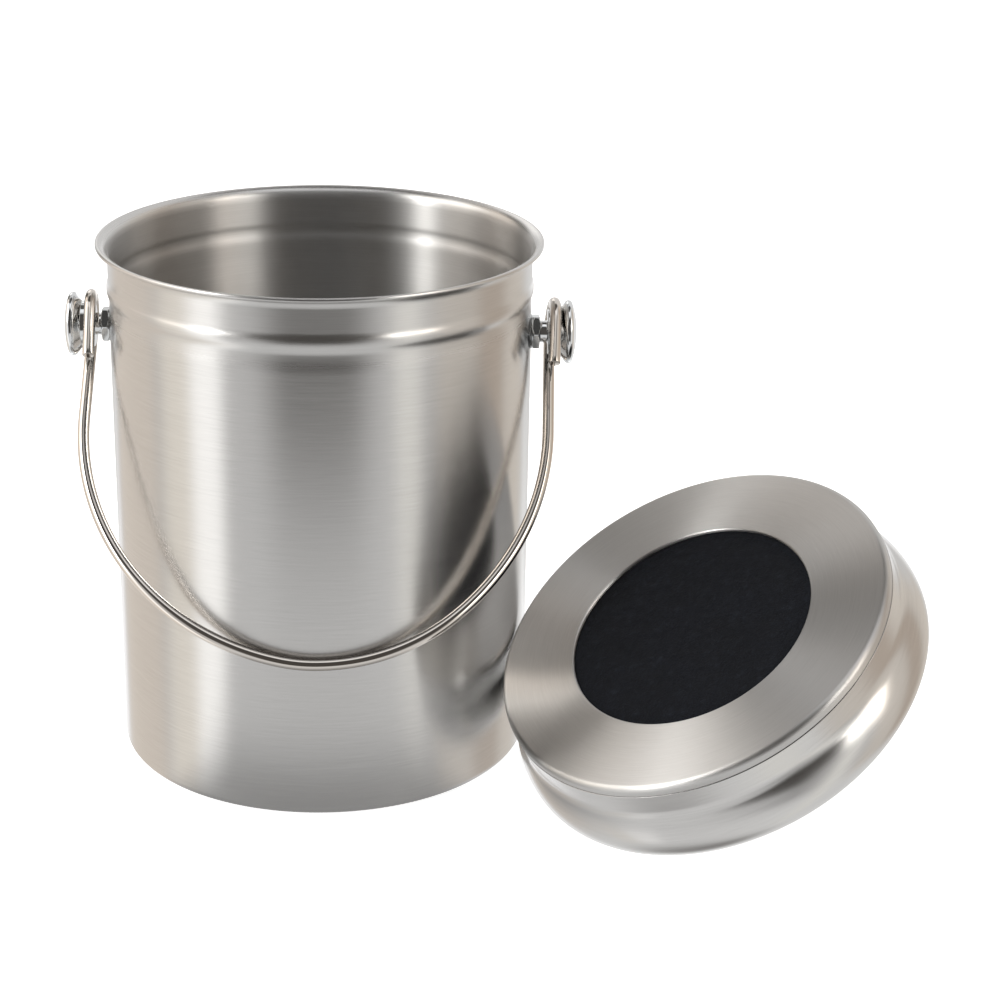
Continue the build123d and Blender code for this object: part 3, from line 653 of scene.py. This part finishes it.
def drawn_wall(co):
    """The drawn wall isn't perfectly true: a few hundredths of a millimetre of waviness, none at the ears or base."""
    r = np.hypot(co[:, 0], co[:, 1])
    th = np.arctan2(co[:, 1], co[:, 0])
    z = co[:, 2]
    on = np.clip((r - 84.0) / 1.0, 0, 1) * np.clip((z - 4) / 14, 0, 1) * np.clip((188 - z) / 12, 0, 1)
    ear = np.minimum(np.abs(th), np.abs(np.abs(th) - math.pi)) * BODY_R
    on *= np.clip((np.hypot(ear, z - np.where(co[:, 0] < 0, PIVOT_Z_L, PIVOT_Z_R)) - 9) / 12, 0, 1)
    w = 0.020 * np.sin(3 * th + 0.9 + z * 0.018) + 0.012 * np.sin(7 * th + 2.1 - z * 0.041) + 0.008 * np.sin(13 * th + z * 0.067)
    k = 1 + on * (w - 0.02) / np.maximum(r, 1)
    out = co.copy()
    out[:, 0] *= k
    out[:, 1] *= k
    return out


pail = lathe("pail_body", profile, SEG, holes=holes, wobble=drawn_wall)
dress(pail, mat_pail, "pail", "pail_shell", slot="pail_brushed_steel")


# ----------------------------------------------------------------- ears: nut, knob
def ear_frame(sx):
    z = Vector((sx, 0, 0)); x = Vector((0, 1, 0)); y = z.cross(x)
    return Matrix(((x.x, y.x, z.x, 0), (x.y, y.y, z.y, 0), (x.z, y.z, z.z, PIVOT_Z_L if sx < 0 else PIVOT_Z_R), (0, 0, 0, 1)))


washer = rounded([(BOLT_HOLE_R, 86.15), (OUTER_WASHER_R, 86.15), (OUTER_WASHER_R, NUT_X), (BOLT_HOLE_R, NUT_X)], 0.14, 4)

edge_o = (KNOB_R - EDGE_R, EDGE_X)
crown_r = (edge_o[0] ** 2 + (KNOB_X - EDGE_X) ** 2 - EDGE_R ** 2) / (2 * (KNOB_X - EDGE_X - EDGE_R))
crown_c = (0.0, KNOB_X - crown_r)
a_crown = math.degrees(math.atan2(edge_o[1] - crown_c[1], edge_o[0]))
cone_v = (edge_o[0] - HUB_R, edge_o[1] - HUB_X1)
a_cone = -math.degrees(math.atan2(*cone_v) + math.asin(EDGE_R / math.hypot(*cone_v)))
edge = arc_points(edge_o, EDGE_R, a_cone, a_crown, 22)
cone = [(HUB_R + (edge[0][0] - HUB_R) * k / 6, HUB_X1 + (edge[0][1] - HUB_X1) * k / 6) for k in range(7)]
root = (HUB_R + (edge[0][0] - HUB_R) * 0.09, HUB_X1 + (edge[0][1] - HUB_X1) * 0.09)
knob_outline = [(4.06, NECK_X0 + 0.12), (4.18, NECK_X0)] + arc_points((NECK_R - 0.2, NECK_X0 + 0.2), 0.2, -90, 0, 4) + \
    [(NECK_R, NECK_X0 + 1.2), (NECK_R, HUB_X0 - 0.9)] + arc_points((NECK_R + 0.35, HUB_X0 - 0.35), 0.35, 180, 90, 5) + [(NECK_R + 1.6, HUB_X0)] + \
    arc_points((HUB_R - 0.5, HUB_X0 + 0.5), 0.5, -90, 0, 6) + \
    fine([(HUB_R, HUB_X0 + 0.5), (HUB_R, HUB_X1 - 0.25)], 1.0)[:5] + arc3((HUB_R, HUB_X1 - 0.3), (HUB_R + 0.06, HUB_X1), root, 5) + \
    cone[1:6] + edge + arc_points(crown_c, crown_r, a_crown, 90, 26)[1:] + [(0.0, 100.6), (4.06, 100.6)]


def dedupe(pts, eps=1e-5):
    out = [pts[0]]
    for p in pts[1:]:
        if math.dist(p, out[-1]) > eps:
            out.append(p)
    if math.dist(out[0], out[-1]) <= eps:
        out.pop()
    return out


knob_outline = dedupe(knob_outline)


def hex_nut(name, M, turn=0.0):
    """Thin hexagon nut with chamfered faces, softly rounded corners and a threaded bore."""
    cols, a = 288, NUT_AF / 2
    corner = a / math.cos(math.radians(30))
    th = np.arange(cols) * 2 * math.pi / cols
    inv = np.zeros(cols)
    for k in range(6):
        inv += np.clip(np.cos(th - turn - math.radians(60 * k)), 0, 1) ** 70
    hexr = a / inv ** (1 / 70)
    zs = [0.0] + [0.45 * k / 9 for k in range(1, 10)] + [0.45 + (NUT_T - 0.9) * k / 6 for k in range(1, 6)] + \
        [NUT_T - 0.45 + 0.45 * k / 9 for k in range(0, 10)]
    rows = []

    def cone(z):
        d = min(z, NUT_T - z)
        return corner - 0.7 + 0.71 * min(1.0, d / 0.45) + (0.4 if d >= 0.45 else 0)

    bore = 4.06
    rows.append((np.full(cols, bore + 0.55), 0.0))
    rows.append((np.full(cols, corner - 1.25), 0.0))
    for z in zs:
        c = cone(z)
        r = (hexr ** -60 + np.full(cols, c) ** -60) ** (-1 / 60)
        rows.append((r, z))
    rows.append((np.full(cols, corner - 1.25), NUT_T))
    rows.append((np.full(cols, bore + 0.55), NUT_T))
    n = 24
    for k in range(n + 1):
        z = NUT_T - 0.3 - (NUT_T - 0.6) * k / n
        rows.append((np.full(cols, bore + 0.18 + 0.16 * math.cos(2 * math.pi * z / 1.25 * 1.0)), z))
    co, faces, uv = [], [], []
    for r, z in rows:
        co += [(float(q * math.cos(t)), float(q * math.sin(t)), NUT_X + z) for q, t in zip(r, th)]
    m = len(rows)
    for i in range(m):
        for j in range(cols):
            k, l = (j + 1) % cols, (i + 1) % m
            faces.append((i * cols + j, i * cols + k, l * cols + k, l * cols + j))
            uv.append(((j / cols, i / m), ((j + 1) / cols, i / m), ((j + 1) / cols, (i + 1) / m), (j / cols, (i + 1) / m)))
    return make_object(name, to_world(co, M), faces, uv, 40.0)


for side, sx, turn in (("left", -1, 36.0), ("right", 1, 24.0)):
    M = ear_frame(sx)
    w = lathe(f"{side}_ear_washer", washer, 96, M)
    dress(w, mat_nut, "pail", f"{side}_outer_washer", slot="chrome_nut")
    nut = hex_nut(f"{side}_ear_nut", M, math.radians(turn))
    dress(nut, mat_nut, "pail", f"{side}_hex_nut", slot="chrome_nut")
    knob = lathe(f"{side}_ear_knob", knob_outline, 160, M, sharp=50)
    dress(knob, mat_chrome, "pail", f"{side}_spool_knob", slot="chrome")
    for node, mat in ((f"{side}_pivot_bolt", mat_bolt), (f"{side}_inner_washer", mat_rubber)):
        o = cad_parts[node]
        o.data.materials.clear()
        o.data.materials.append(mat)

# -------------------------------------------------------------------- the bail wire
EYE_X_L, EYE_X_R = -94.84, 95.1
BOW_L, BOW_X = 142.09, 0.17


def unit(v):
    return v / np.linalg.norm(v)


reach = BODY_R + WIRE_R + 0.3
lean = math.asin(reach / math.hypot(BOW_L, EYE_R)) + math.atan2(EYE_R, BOW_L)
eye_l, eye_r = np.array([EYE_X_L, 0, PIVOT_Z_L]), np.array([EYE_X_R, 0, PIVOT_Z_R])
X = unit(eye_r - eye_l)
pivot = eye_l + X * (-EYE_X_L / X[0])
dv = np.array([0, -math.sin(lean), -math.cos(lean)])
dv = unit(dv - X * (dv @ X))
e0 = np.cross(X, dv)
e0 = e0 if e0[1] < 0 else -e0


def bail_side(sx, c, leg_len, leg_deg, turn_deg, tip_len, twist, tip_turn):
    """Points of one half of the bail, from the cut tip to the bottom of the bow."""
    be, al, tw, tt = (math.radians(v) for v in (leg_deg, turn_deg, twist, tip_turn))
    dl = dv * math.cos(be) + X * (sx * math.sin(be))
    el = e0 * math.cos(tw) + unit(X - dl * (X @ dl)) * math.sin(tw)
    el = unit(el - dl * (el @ dl))
    c = c - e0 * (EYE_R * (1 - math.cos(tw)))
    top = c - dl * EYE_R
    dt = dl * math.cos(tt) - X * (sx * math.sin(tt))
    dt = unit(dt - el * (dt @ el))
    ct = top + dt * EYE_R
    pts = [ct + el * EYE_R + dt * (tip_len * (1 - k / 8)) for k in range(8)]
    pts += [ct + el * (EYE_R * math.cos(a)) - dt * (EYE_R * math.sin(a)) for a in np.linspace(0, math.pi / 2, 37)[:-1]]
    pts += [c + el * (EYE_R * math.cos(a)) - dl * (EYE_R * math.sin(a)) for a in np.linspace(math.pi / 2, math.pi, 37)]
    leg0 = c - el * EYE_R
    leg1 = leg0 + dl * leg_len
    pts += [leg0 + (leg1 - leg0) * k / 14 for k in range(1, 14)]
    half, depth = abs((leg1 - pivot) @ X - BOW_X), BOW_L - (leg1 - pivot) @ dv
    a, b = math.cos(be) - math.cos(al), math.cos(al)
    cc, dd = math.sin(al) + math.sin(be), 1 - math.sin(al)
    det = a * dd - b * cc
    r1, r2 = (half * dd - b * depth) / det, (a * depth - cc * half) / det
    for ph in np.r_[np.linspace(-be, al, 60)[:-1], np.linspace(al, math.pi / 2, 70 if al < 1 else 30)]:
        if ph <= al:
            u, v = r1 * (math.cos(be) - math.cos(ph)), r1 * (math.sin(ph) + math.sin(be))
        else:
            u = r1 * (math.cos(be) - math.cos(al)) + r2 * (math.cos(al) - math.cos(ph))
            v = r1 * (math.sin(al) + math.sin(be)) + r2 * (math.sin(ph) - math.sin(al))
        pts.append(leg1 + X * (-sx * u) + dv * v)
    return pts


left = bail_side(-1, eye_l, 36.8, 1.26, 78.67, 20.2, 2.7, 3.2)
right = bail_side(1, eye_r, 39.9, -0.90, 48.02, 20.4, 4.1, 1.1)
bail = tube("bail", left + right[::-1][1:], WIRE_R, 40)
dress(bail, mat_wire, "bail", "bail_wire", slot="polished_steel_wire")

# --------------------------------------------------------------------------- the lid
nv = Vector((math.cos(LID_EL) * math.cos(LID_AZ), math.cos(LID_EL) * math.sin(LID_AZ), math.sin(LID_EL)))
zl = -nv
xl = (Vector((0, 0, -1)) - zl * Vector((0, 0, -1)).dot(zl)).normalized()
yl = zl.cross(xl)
LID = Matrix(((xl.x, yl.x, zl.x, LID_C.x), (xl.y, yl.y, zl.y, LID_C.y), (xl.z, yl.z, zl.z, LID_C.z), (0, 0, 0, 1)))

dr = SKIRT_R + CONCAVE_R - (BULGE_R - SHOULDER_R)
dsh = math.sqrt((CONCAVE_R + SHOULDER_R) ** 2 - dr ** 2)
s_bend = BULGE_S - dsh
swing = math.degrees(math.atan2(dsh, dr))
cr, rise = BULGE_R - CROWN_R, APEX_S - BULGE_S
dome_R = (cr ** 2 + rise ** 2 - CROWN_R ** 2) / (2 * (rise - CROWN_R))
tilt = math.degrees(math.atan2(dome_R - rise, cr))


def dome_profile(off):
    p = Outline(SKIRT_R, SEAM_S + SEAM_GAP + 0.12, 90)
    p.to_z(s_bend).arc(CONCAVE_R, -swing).arc(SHOULDER_R, swing).arc(CROWN_R, tilt)
    pts = p.points(off, step=1.6, turn=1.6)
    R, zc = dome_R - off, APEX_S - dome_R
    # the dome down to the screw hole, with rows set for the vents
    r0 = pts[-1][0]
    marks = [r0, 60, 50, 42, 36, 32] + [VENT_RING + 2.9 - 5.8 * k / 10 for k in range(11)] + [22, 19, 15, 11, 8, 5.5, 4, 2.65]
    for a, b in zip(marks, marks[1:]):
        n = max(1, int(math.ceil((a - b) / 2.2)))
        for k in range(1, n + 1):
            r = a + (b - a) * k / n
            pts.append((r, zc + math.sqrt(R * R - r * r)))
    return pts


so, si = dome_profile(0.0), dome_profile(LID_T)
lip = [(SKIRT_R - 0.12, SEAM_S + SEAM_GAP), (SKIRT_R - LID_T + 0.12, SEAM_S + SEAM_GAP)]
shell_outline = final_order(so + si[::-1] + lip[::-1])


def vent(key, ang, off, rows):
    col = int(round(((math.degrees(ang) - 90.0) % 360) / 360 * SEG)) % SEG
    cx, cy = VENT_RING * math.cos(ang), VENT_RING * math.sin(ang)
    R, zc = dome_R - off, APEX_S - dome_R
    return {"key": key, "col": col, "half": 7, "row0": rows[0], "row1": rows[1], "radius": VENT_R,
            "flat": lambda p: (p[0] - cx, p[1] - cy),
            "back": lambda x, y: (cx + x, cy + y, zc + math.sqrt(R * R - (cx + x) ** 2 - (cy + y) ** 2))}


vents = []
for off in (0.0, LID_T):
    R, zc = dome_R - off, APEX_S - dome_R
    rows = [i for i, p in enumerate(shell_outline) if VENT_RING - 2.91 <= p[0] <= VENT_RING + 2.91 and abs(p[1] - zc - math.sqrt(R * R - p[0] ** 2)) < 1e-6]
    for i in range(VENT_N):
        vents.append(vent(i, 2 * math.pi * (i + 0.5) / VENT_N, off, (min(rows), max(rows))))
lid = lathe("lid_dome", shell_outline, SEG, LID, holes=vents)
dress(lid, mat_lid, "lid", "lid_shell", slot="lid_brushed_steel")

rp = Outline(OPENING_R, 1.35, -90)
rp.to_z(LIP_R).arc(LIP_R, 90).to_r(FACE_R - FACE_EDGE_R).arc(FACE_EDGE_R, 90)
ring_o, ring_i = rp.points(0.0, 3.0, 4.0), rp.points(0.7, 3.0, 6.0)
sleeve = SKIRT_R - LID_T - 0.06
back_of_ring = rounded([(FACE_R, FACE_EDGE_R + 0.5), (FACE_R, SEAM_S), (sleeve, SEAM_S), (sleeve, 7.9), (sleeve - 0.65, 7.9),
                        (sleeve - 0.65, SEAM_S - 0.65), (FACE_R - 0.7, SEAM_S - 0.65), (FACE_R - 0.7, FACE_EDGE_R + 0.5)], 0.14, 3)[4:-4]
ring_outline = dedupe(ring_o + back_of_ring + ring_i[::-1])
ring = lathe("filter_cover_ring", fine(ring_outline, 3.0), SEG, LID)
dress(ring, mat_ring, "filter_ring", "filter_ring", slot="ring_brushed_steel")


# ------------------------------------------------------------------ charcoal filter
def felt_pad():
    """A needled felt disc: slightly crowned in the opening, with an uneven napped face and loose fibres."""
    rnd = random.Random(11)
    seg, rings = 240, 96
    co, faces, uv = [], [], []
    th = np.arange(seg) * 2 * math.pi / seg
    ph = [rnd.uniform(0, 2 * math.pi) for _ in range(40)]
    dirs = [rnd.uniform(0, math.pi) for _ in range(40)]

    def nap(x, y):
        v = 0.0
        for k in range(40):
            f = 0.25 + 0.13 * k
            v += math.sin((x * math.cos(dirs[k]) + y * math.sin(dirs[k])) * f + ph[k]) / (1 + 0.28 * k)
        return v * 0.028

    radii = [FILTER_R * k / rings for k in range(1, rings - 1)]
    rows = []
    for r in radii:
        if r > FILTER_R - 1.5:
            break
        crown = 0.22 * max(0.0, 1 - (r / 51.0) ** 2)
        rows.append([(r * math.cos(t), r * math.sin(t), FILTER_S0 + 0.2 - crown + max(-0.15, nap(r * math.cos(t), r * math.sin(t)))) for t in th])
    for a in (-70, -45, -20, 0):
        r, z = FILTER_R - 1.5 + 1.5 * math.cos(math.radians(a)), FILTER_S0 + 1.6 + 1.4 * math.sin(math.radians(a))
        rows.append([(r * math.cos(t), r * math.sin(t), z) for t in th])
    for z in (4.6, 6.2, 7.6, 7.9):
        r = FILTER_R - (0.3 if z > 7.8 else 0)
        rows.append([(r * math.cos(t), r * math.sin(t), z) for t in th])
    for r in (70, 50, 30, 10):
        rows.append([(r * math.cos(t), r * math.sin(t), FILTER_S1 - 0.05) for t in th])
    co = [(0, 0, FILTER_S0)]
    for row in rows:
        co += row
    top = len(co)
    co.append((0, 0, FILTER_S1 - 0.05))
    for j in range(seg):
        k = (j + 1) % seg
        faces.append((0, 1 + k, 1 + j)); uv.append(((0, 0), (0, .001), (.001, .001)))
        for i in range(len(rows) - 1):
            a, b = 1 + i * seg, 1 + (i + 1) * seg
            faces.append((a + j, a + k, b + k, b + j))
            uv.append(((j / seg, i * .001), ((j + 1) / seg, i * .001), ((j + 1) / seg, (i + 1) * .001), (j / seg, (i + 1) * .001)))
        a = 1 + (len(rows) - 1) * seg
        faces.append((a + j, a + k, top)); uv.append(((0, 0), (0, .001), (.001, .001)))
    # loose fibres that lie on the face: fine three-sided strands, closed at both ends
    for _ in range(1500):
        r = 50.4 * math.sqrt(rnd.random())
        t = rnd.uniform(0, 2 * math.pi)
        x, y, ang = r * math.cos(t), r * math.sin(t), rnd.uniform(0, 2 * math.pi)
        length, bend, lift = rnd.uniform(1.2, 4.2), rnd.uniform(-0.9, 0.9), rnd.uniform(0.02, 0.12)
        wid = rnd.uniform(0.018, 0.032)
        spine, n = [], 7
        for q in range(n):
            h = ang + bend * (q / (n - 1) - 0.5)
            if q:
                x += math.cos(h) * length / (n - 1)
                y += math.sin(h) * length / (n - 1)
            rr = math.hypot(x, y)
            if rr > 50.7:
                x, y = x * 50.7 / rr, y * 50.7 / rr
            crown = 0.22 * max(0.0, 1 - (math.hypot(x, y) / 51.0) ** 2)
            z = FILTER_S0 + 0.2 - crown + max(-0.15, nap(x, y)) - lift * math.sin(math.pi * q / (n - 1)) + 0.01
            spine.append((x, y, z, h))
        base = len(co)
        for q, (px, py, pz, h) in enumerate(spine):
            w = wid * (0.35 + 0.65 * math.sin(math.pi * (q + 0.6) / (n + 0.2)))
            nx, ny = -math.sin(h), math.cos(h)
            for a in (90, 210, 330):
                co.append((px + nx * w * math.cos(math.radians(a)), py + ny * w * math.cos(math.radians(a)), pz - w * math.sin(math.radians(a))))
        for q in range(n - 1):
            for a in range(3):
                b = (a + 1) % 3
                faces.append((base + q * 3 + a, base + q * 3 + b, base + q * 3 + 3 + b, base + q * 3 + 3 + a))
                uv.append(((0, 0), (.01, 0), (.01, .001), (0, .001)))
        faces.append((base + 2, base + 1, base)); uv.append(((0, 0), (.01, 0), (.01, .001)))
        e = base + (n - 1) * 3
        faces.append((e, e + 1, e + 2)); uv.append(((0, 0), (.01, 0), (.01, .001)))
    return make_object("charcoal_felt_pad", to_world(co, LID), faces, uv, 60.0)


pad = felt_pad()
dress(pad, mat_felt, "lid", "charcoal_filter", slot="black_felt")

# ------------------------------------------------------------- lid knob and fixings
edge_c = (LID_KNOB_R - LID_KNOB_EDGE, LID_KNOB_TOP - LID_KNOB_EDGE)
knob_side = [(9.0, APEX_S + 0.0), (9.0, APEX_S + 1.2)] + arc3((9.0, APEX_S + 1.2), (6.9, APEX_S + 4.6), (6.2, APEX_S + 8.6), 16)[1:] + \
    arc3((6.2, APEX_S + 8.6), (8.6, APEX_S + 16.2), (14.6, APEX_S + 21.6), 24)[1:] + \
    arc3((14.6, APEX_S + 21.6), (15.9, APEX_S + 22.9), (LID_KNOB_R, edge_c[1]), 8)[1:] + \
    arc_points(edge_c, LID_KNOB_EDGE, 0, 90, 16)[1:] + [(10.0, LID_KNOB_TOP), (5.0, LID_KNOB_TOP), (0.0, LID_KNOB_TOP), (0.0, APEX_S + 15.0), (2.55, APEX_S + 15.0), (2.55, APEX_S)]
lknob = lathe("lid_handle_knob", dedupe(knob_side), 160, LID, sharp=40)
dress(lknob, mat_chrome, "lid", "lid_knob", slot="chrome")
for node, mat in (("filter_backplate", mat_mill), ("lid_knob_washer", mat_mill), ("lid_knob_screw", mat_bolt)):
    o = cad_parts[node]
    o.data.materials.clear()
    o.data.materials.append(mat)

# ---------------------------------------------------------------- floor and studio
def floor_mesh():
    """A seamless pale sweep, flat under the object and wide enough to fill any view."""
    n, R = 96, 30.0
    rad = [0.0] + [0.05 * 1.35 ** k for k in range(22)]
    co, faces, uv = [(0, 0, 0)], [], []
    for r in rad[1:]:
        r = min(r, R)
        co += [(0.08 + r * math.cos(2 * math.pi * j / n), r * math.sin(2 * math.pi * j / n), 0.0) for j in range(n)]
    for j in range(n):
        k = (j + 1) % n
        faces.append((0, 1 + j, 1 + k)); uv.append(((0, 0), (1, 0), (1, 1)))
        for i in range(len(rad) - 2):
            a, b = 1 + i * n, 1 + (i + 1) * n
            faces.append((a + j, b + j, b + k, a + k)); uv.append(((0, 0), (1, 0), (1, 1), (0, 1)))
    return make_object("studio_floor", np.array(co), faces, uv)


floor = floor_mesh()
floor.location.z = -0.00001
fm, g, b = new_material("pale_sweep")
obj = g.node("ShaderNodeTexCoord")
nz = g.noise(obj.outputs["Object"], 3.0, 2.0, 0.5)
g.set(b, "Base Color", g.mix(nz, (0.90, 0.90, 0.90, 1), (0.92, 0.92, 0.92, 1)))
b.inputs["Roughness"].default_value = 0.9
b.inputs["Specular IOR Level"].default_value = 0.0
b.inputs["Emission Color"].default_value = (1, 1, 1, 1)
b.inputs["Emission Strength"].default_value = 0.80
floor.data.materials.append(fm)
floor.visible_glossy = False

# a white card below the floor that only reflections see, so that the steel mirrors a pale foreground with a near edge;
# close to the pail its glow is dimmed, a painted contact shadow that only reflections show
low_card = make_object("studio_low_card", np.array([(-0.85, -0.80, 0), (0.85, -0.80, 0), (0.85, 0.80, 0), (-0.85, 0.80, 0)]), [(0, 1, 2, 3)], [((0, 0), (1, 0), (1, 1), (0, 1))])
low_card.location.z = -0.0006
bm_, g, b = new_material("low_card_with_painted_shadow")
obj = g.node("ShaderNodeTexCoord")
sp = g.node("ShaderNodeSeparateXYZ")
g.t.links.new(obj.outputs["Object"], sp.inputs[0])
fade = g.math("MULTIPLY", g.ramp(sp.outputs[1], -0.61, -0.40), g.ramp(g.math("DIVIDE", g.math("ABSOLUTE", sp.outputs[0]), g.math("ADD", g.math("ABSOLUTE", sp.outputs[1]), 0.02)), 0.45, 1.0, 1.0, 0.0))
b.inputs["Base Color"].default_value = (0.0, 0.0, 0.0, 1)
b.inputs["Roughness"].default_value = 1.0
b.inputs["Specular IOR Level"].default_value = 0.0
b.inputs["Emission Color"].default_value = (1, 0.995, 0.985, 1)
far = g.math("SQRT", g.math("ADD", g.math("MULTIPLY", sp.outputs[0], sp.outputs[0]), g.math("MULTIPLY", sp.outputs[1], sp.outputs[1])))
# painted shadow: the card glows at half strength within 0.10 to 0.18 m of the pail's axis, standing in for the pail's
# contact shadow in its reflections
g.set(b, "Emission Strength", g.ramp(far, 0.10, 0.18, 0.40, 0.80))
g.set(b, "Alpha", fade)
low_card.data.materials.append(bm_)
low_card.visible_camera = low_card.visible_diffuse = low_card.visible_shadow = low_card.visible_transmission = False

world = bpy.data.worlds.new("studio")
bpy.context.scene.world = world
world.use_nodes = True
world.node_tree.nodes.clear()
g = Graph(world.node_tree)
tc = g.node("ShaderNodeTexCoord")
nrm = g.node("ShaderNodeVectorMath"); nrm.operation = "NORMALIZE"
g.t.links.new(tc.outputs["Generated"], nrm.inputs[0])
sep = g.node("ShaderNodeSeparateXYZ")
g.t.links.new(nrm.outputs[0], sep.inputs[0])
dx, dy, dz = sep.outputs
horiz = g.math("MAXIMUM", g.math("SQRT", g.math("ADD", g.math("MULTIPLY", dx, dx), g.math("MULTIPLY", dy, dy))), 1e-4)
hx, hy = g.math("DIVIDE", dx, horiz), g.math("DIVIDE", dy, horiz)
el = g.math("MULTIPLY", g.math("ARCSINE", dz), 180 / math.pi)


def az_from(az):
    """Degrees of azimuth between the direction and a panel's centre."""
    c = g.math("ADD", g.math("MULTIPLY", hx, math.cos(math.radians(az))), g.math("MULTIPLY", hy, math.sin(math.radians(az))))
    return g.math("MULTIPLY", g.math("ARCCOSINE", g.math("MINIMUM", g.math("MAXIMUM", c, -1.0), 1.0)), 180 / math.pi)


def panel(sky, az, half, lo, hi, colour, soft=4.0, soft_el=6.0, strength=1.0):
    """A soft-edged card or lamp in the surroundings, by azimuth and elevation in degrees."""
    a = g.ramp(az_from(az), half - soft, half + soft, 1.0, 0.0)
    e0_ = g.ramp(el, lo - soft_el, lo + soft_el)
    e1_ = g.ramp(el, hi - soft_el, hi + soft_el, 1.0, 0.0)
    m = g.math("MULTIPLY", g.math("MULTIPLY", a, g.math("MULTIPLY", e0_, e1_)), strength)
    return g.mix(m, sky, (*colour, 1))


sky = g.mix(g.ramp(el, -34, -20), (0.92, 0.915, 0.905, 1), (0.66, 0.65, 0.64, 1))
# (azimuth, half width, lowest, highest, colour, soft azimuth, soft elevation)
CARDS = [
    (110, 9, -60, -4, (1.35, 1.35, 1.37), 5, 6),        # cool card, low at the back
    (147, 24, -50, 45, (0.90, 0.81, 0.72), 7, 8),       # warm card back left
    (147, 24, 12, 45, (1.35, 1.20, 1.06), 7, 8),        # its brighter upper half
    (-172, 12, -60, 60, (1.06, 0.99, 0.89), 6, 6),      # warm card left
    (-172, 12, 12, 52, (2.40, 2.22, 2.00), 6, 8),
    (-153, 10, -60, 56, (1.50, 1.48, 1.45), 5, 6),      # tall key strip left
    (-151, 5.5, 14, 50, (11.0, 10.9, 10.6), 3, 8),
    (-116, 3, 14, 50, (0.60, 0.48, 0.38), 2, 8),        # narrow brown card
    (-41, 8, -60, 50, (1.02, 1.00, 0.95), 5, 6),        # narrow strip front right
    (-45, 7, 14, 50, (4.6, 4.45, 4.2), 3, 8),
    (-8, 15, -34, 50, (0.80, 0.74, 0.67), 6, 8),        # brown card right
    (-29, 6, 14, 50, (4.3, 3.9, 3.5), 4, 8),
    (18, 13, -32, 50, (0.60, 0.51, 0.43), 6, 8),        # darker brown card
    (42, 12, -32, 45, (0.84, 0.77, 0.69), 6, 8),
    (77, 17, -60, 4, (1.30, 1.30, 1.30), 8, 6),         # pale card, low at the back
    (80, 34, 8, 56, (0.84, 0.83, 0.82), 8, 6),          # dimmer card over it
    (106, 9, 14, 36, (1.45, 1.42, 1.38), 5, 5),         # bright card for the lid's ring
    (107, 9, 39, 47, (0.40, 0.38, 0.36), 5, 4),         # dark strip over it
    (127, 8, 2, 38, (0.12, 0.115, 0.105), 4, 5),        # dark strip beside it
    (133, 7, 38, 50, (0.30, 0.29, 0.27), 4, 4),
    (154, 7, 31, 38, (0.40, 0.38, 0.36), 4, 4),
    (104, 56, 56, 88, (0.10, 0.095, 0.09), 8, 4),       # dark flag overhead
    (173, 17, 28, 54, (2.4, 2.3, 2.2), 6, 5),           # bright card high at the left
    (-93, 58, 36, 66, (0.07, 0.068, 0.066), 12, 7),      # dark flag, high in front
    (-92, 36, 4, 42, (0.10, 0.092, 0.085), 7, 7),
    (-90, 26, -24, 52, (0.085, 0.078, 0.072), 12, 6),   # dark flag in front
]
for c in CARDS:
    sky = panel(sky, *c)
top = g.ramp(el, 64, 76)
sky = g.mix(g.math("MULTIPLY", top, g.ramp(az_from(104), 48, 66)), sky, (1.15, 1.15, 1.16, 1))            # overhead softbox
low = g.ramp(el, -82, -62, 1.0, 0.0)
sky = g.mix(low, sky, (0.30, 0.29, 0.28, 1))            # shade under the object
bg = g.node("ShaderNodeBackground")
g.t.links.new(sky, bg.inputs["Color"])
plain = g.node("ShaderNodeBackground")
plain.inputs["Color"].default_value = (1, 1, 1, 1)
plain.inputs["Strength"].default_value = 1.05
lp = g.node("ShaderNodeLightPath")
mx = g.node("ShaderNodeMixShader")
g.t.links.new(lp.outputs["Is Camera Ray"], mx.inputs[0])
g.t.links.new(bg.outputs[0], mx.inputs[1])
g.t.links.new(plain.outputs[0], mx.inputs[2])
out = g.node("ShaderNodeOutputWorld")
g.t.links.new(mx.outputs[0], out.inputs["Surface"])

bpy.context.scene.view_settings.view_transform = "Standard"
bpy.context.scene.view_settings.look = "None"

# ---------------------------------------------------------------------------- camera
psi, pitch, roll = math.radians(1.9035), math.radians(20.9113), math.radians(1.0427)
fwd = Vector((math.sin(psi) * math.cos(pitch), math.cos(psi) * math.cos(pitch), -math.sin(pitch)))
rt = Vector((math.cos(psi), -math.sin(psi), 0))
up = Vector((math.sin(psi) * math.sin(pitch), math.cos(psi) * math.sin(pitch), math.cos(pitch)))
r2 = rt * math.cos(roll) + up * math.sin(roll)
u2 = up * math.cos(roll) - rt * math.sin(roll)
cam_data = bpy.data.cameras.new("camera")
cam_data.sensor_width, cam_data.lens = 36.0, 85.7609
cam_data.clip_start, cam_data.clip_end = 0.05, 100.0
cam = bpy.data.objects.new("camera", cam_data)
bpy.context.scene.collection.objects.link(cam)
cam.matrix_world = Matrix(((r2.x, u2.x, -fwd.x, 0.04329), (r2.y, u2.y, -fwd.y, -0.94258), (r2.z, u2.z, -fwd.z, 0.464492), (0, 0, 0, 1)))
bpy.context.scene.camera = cam
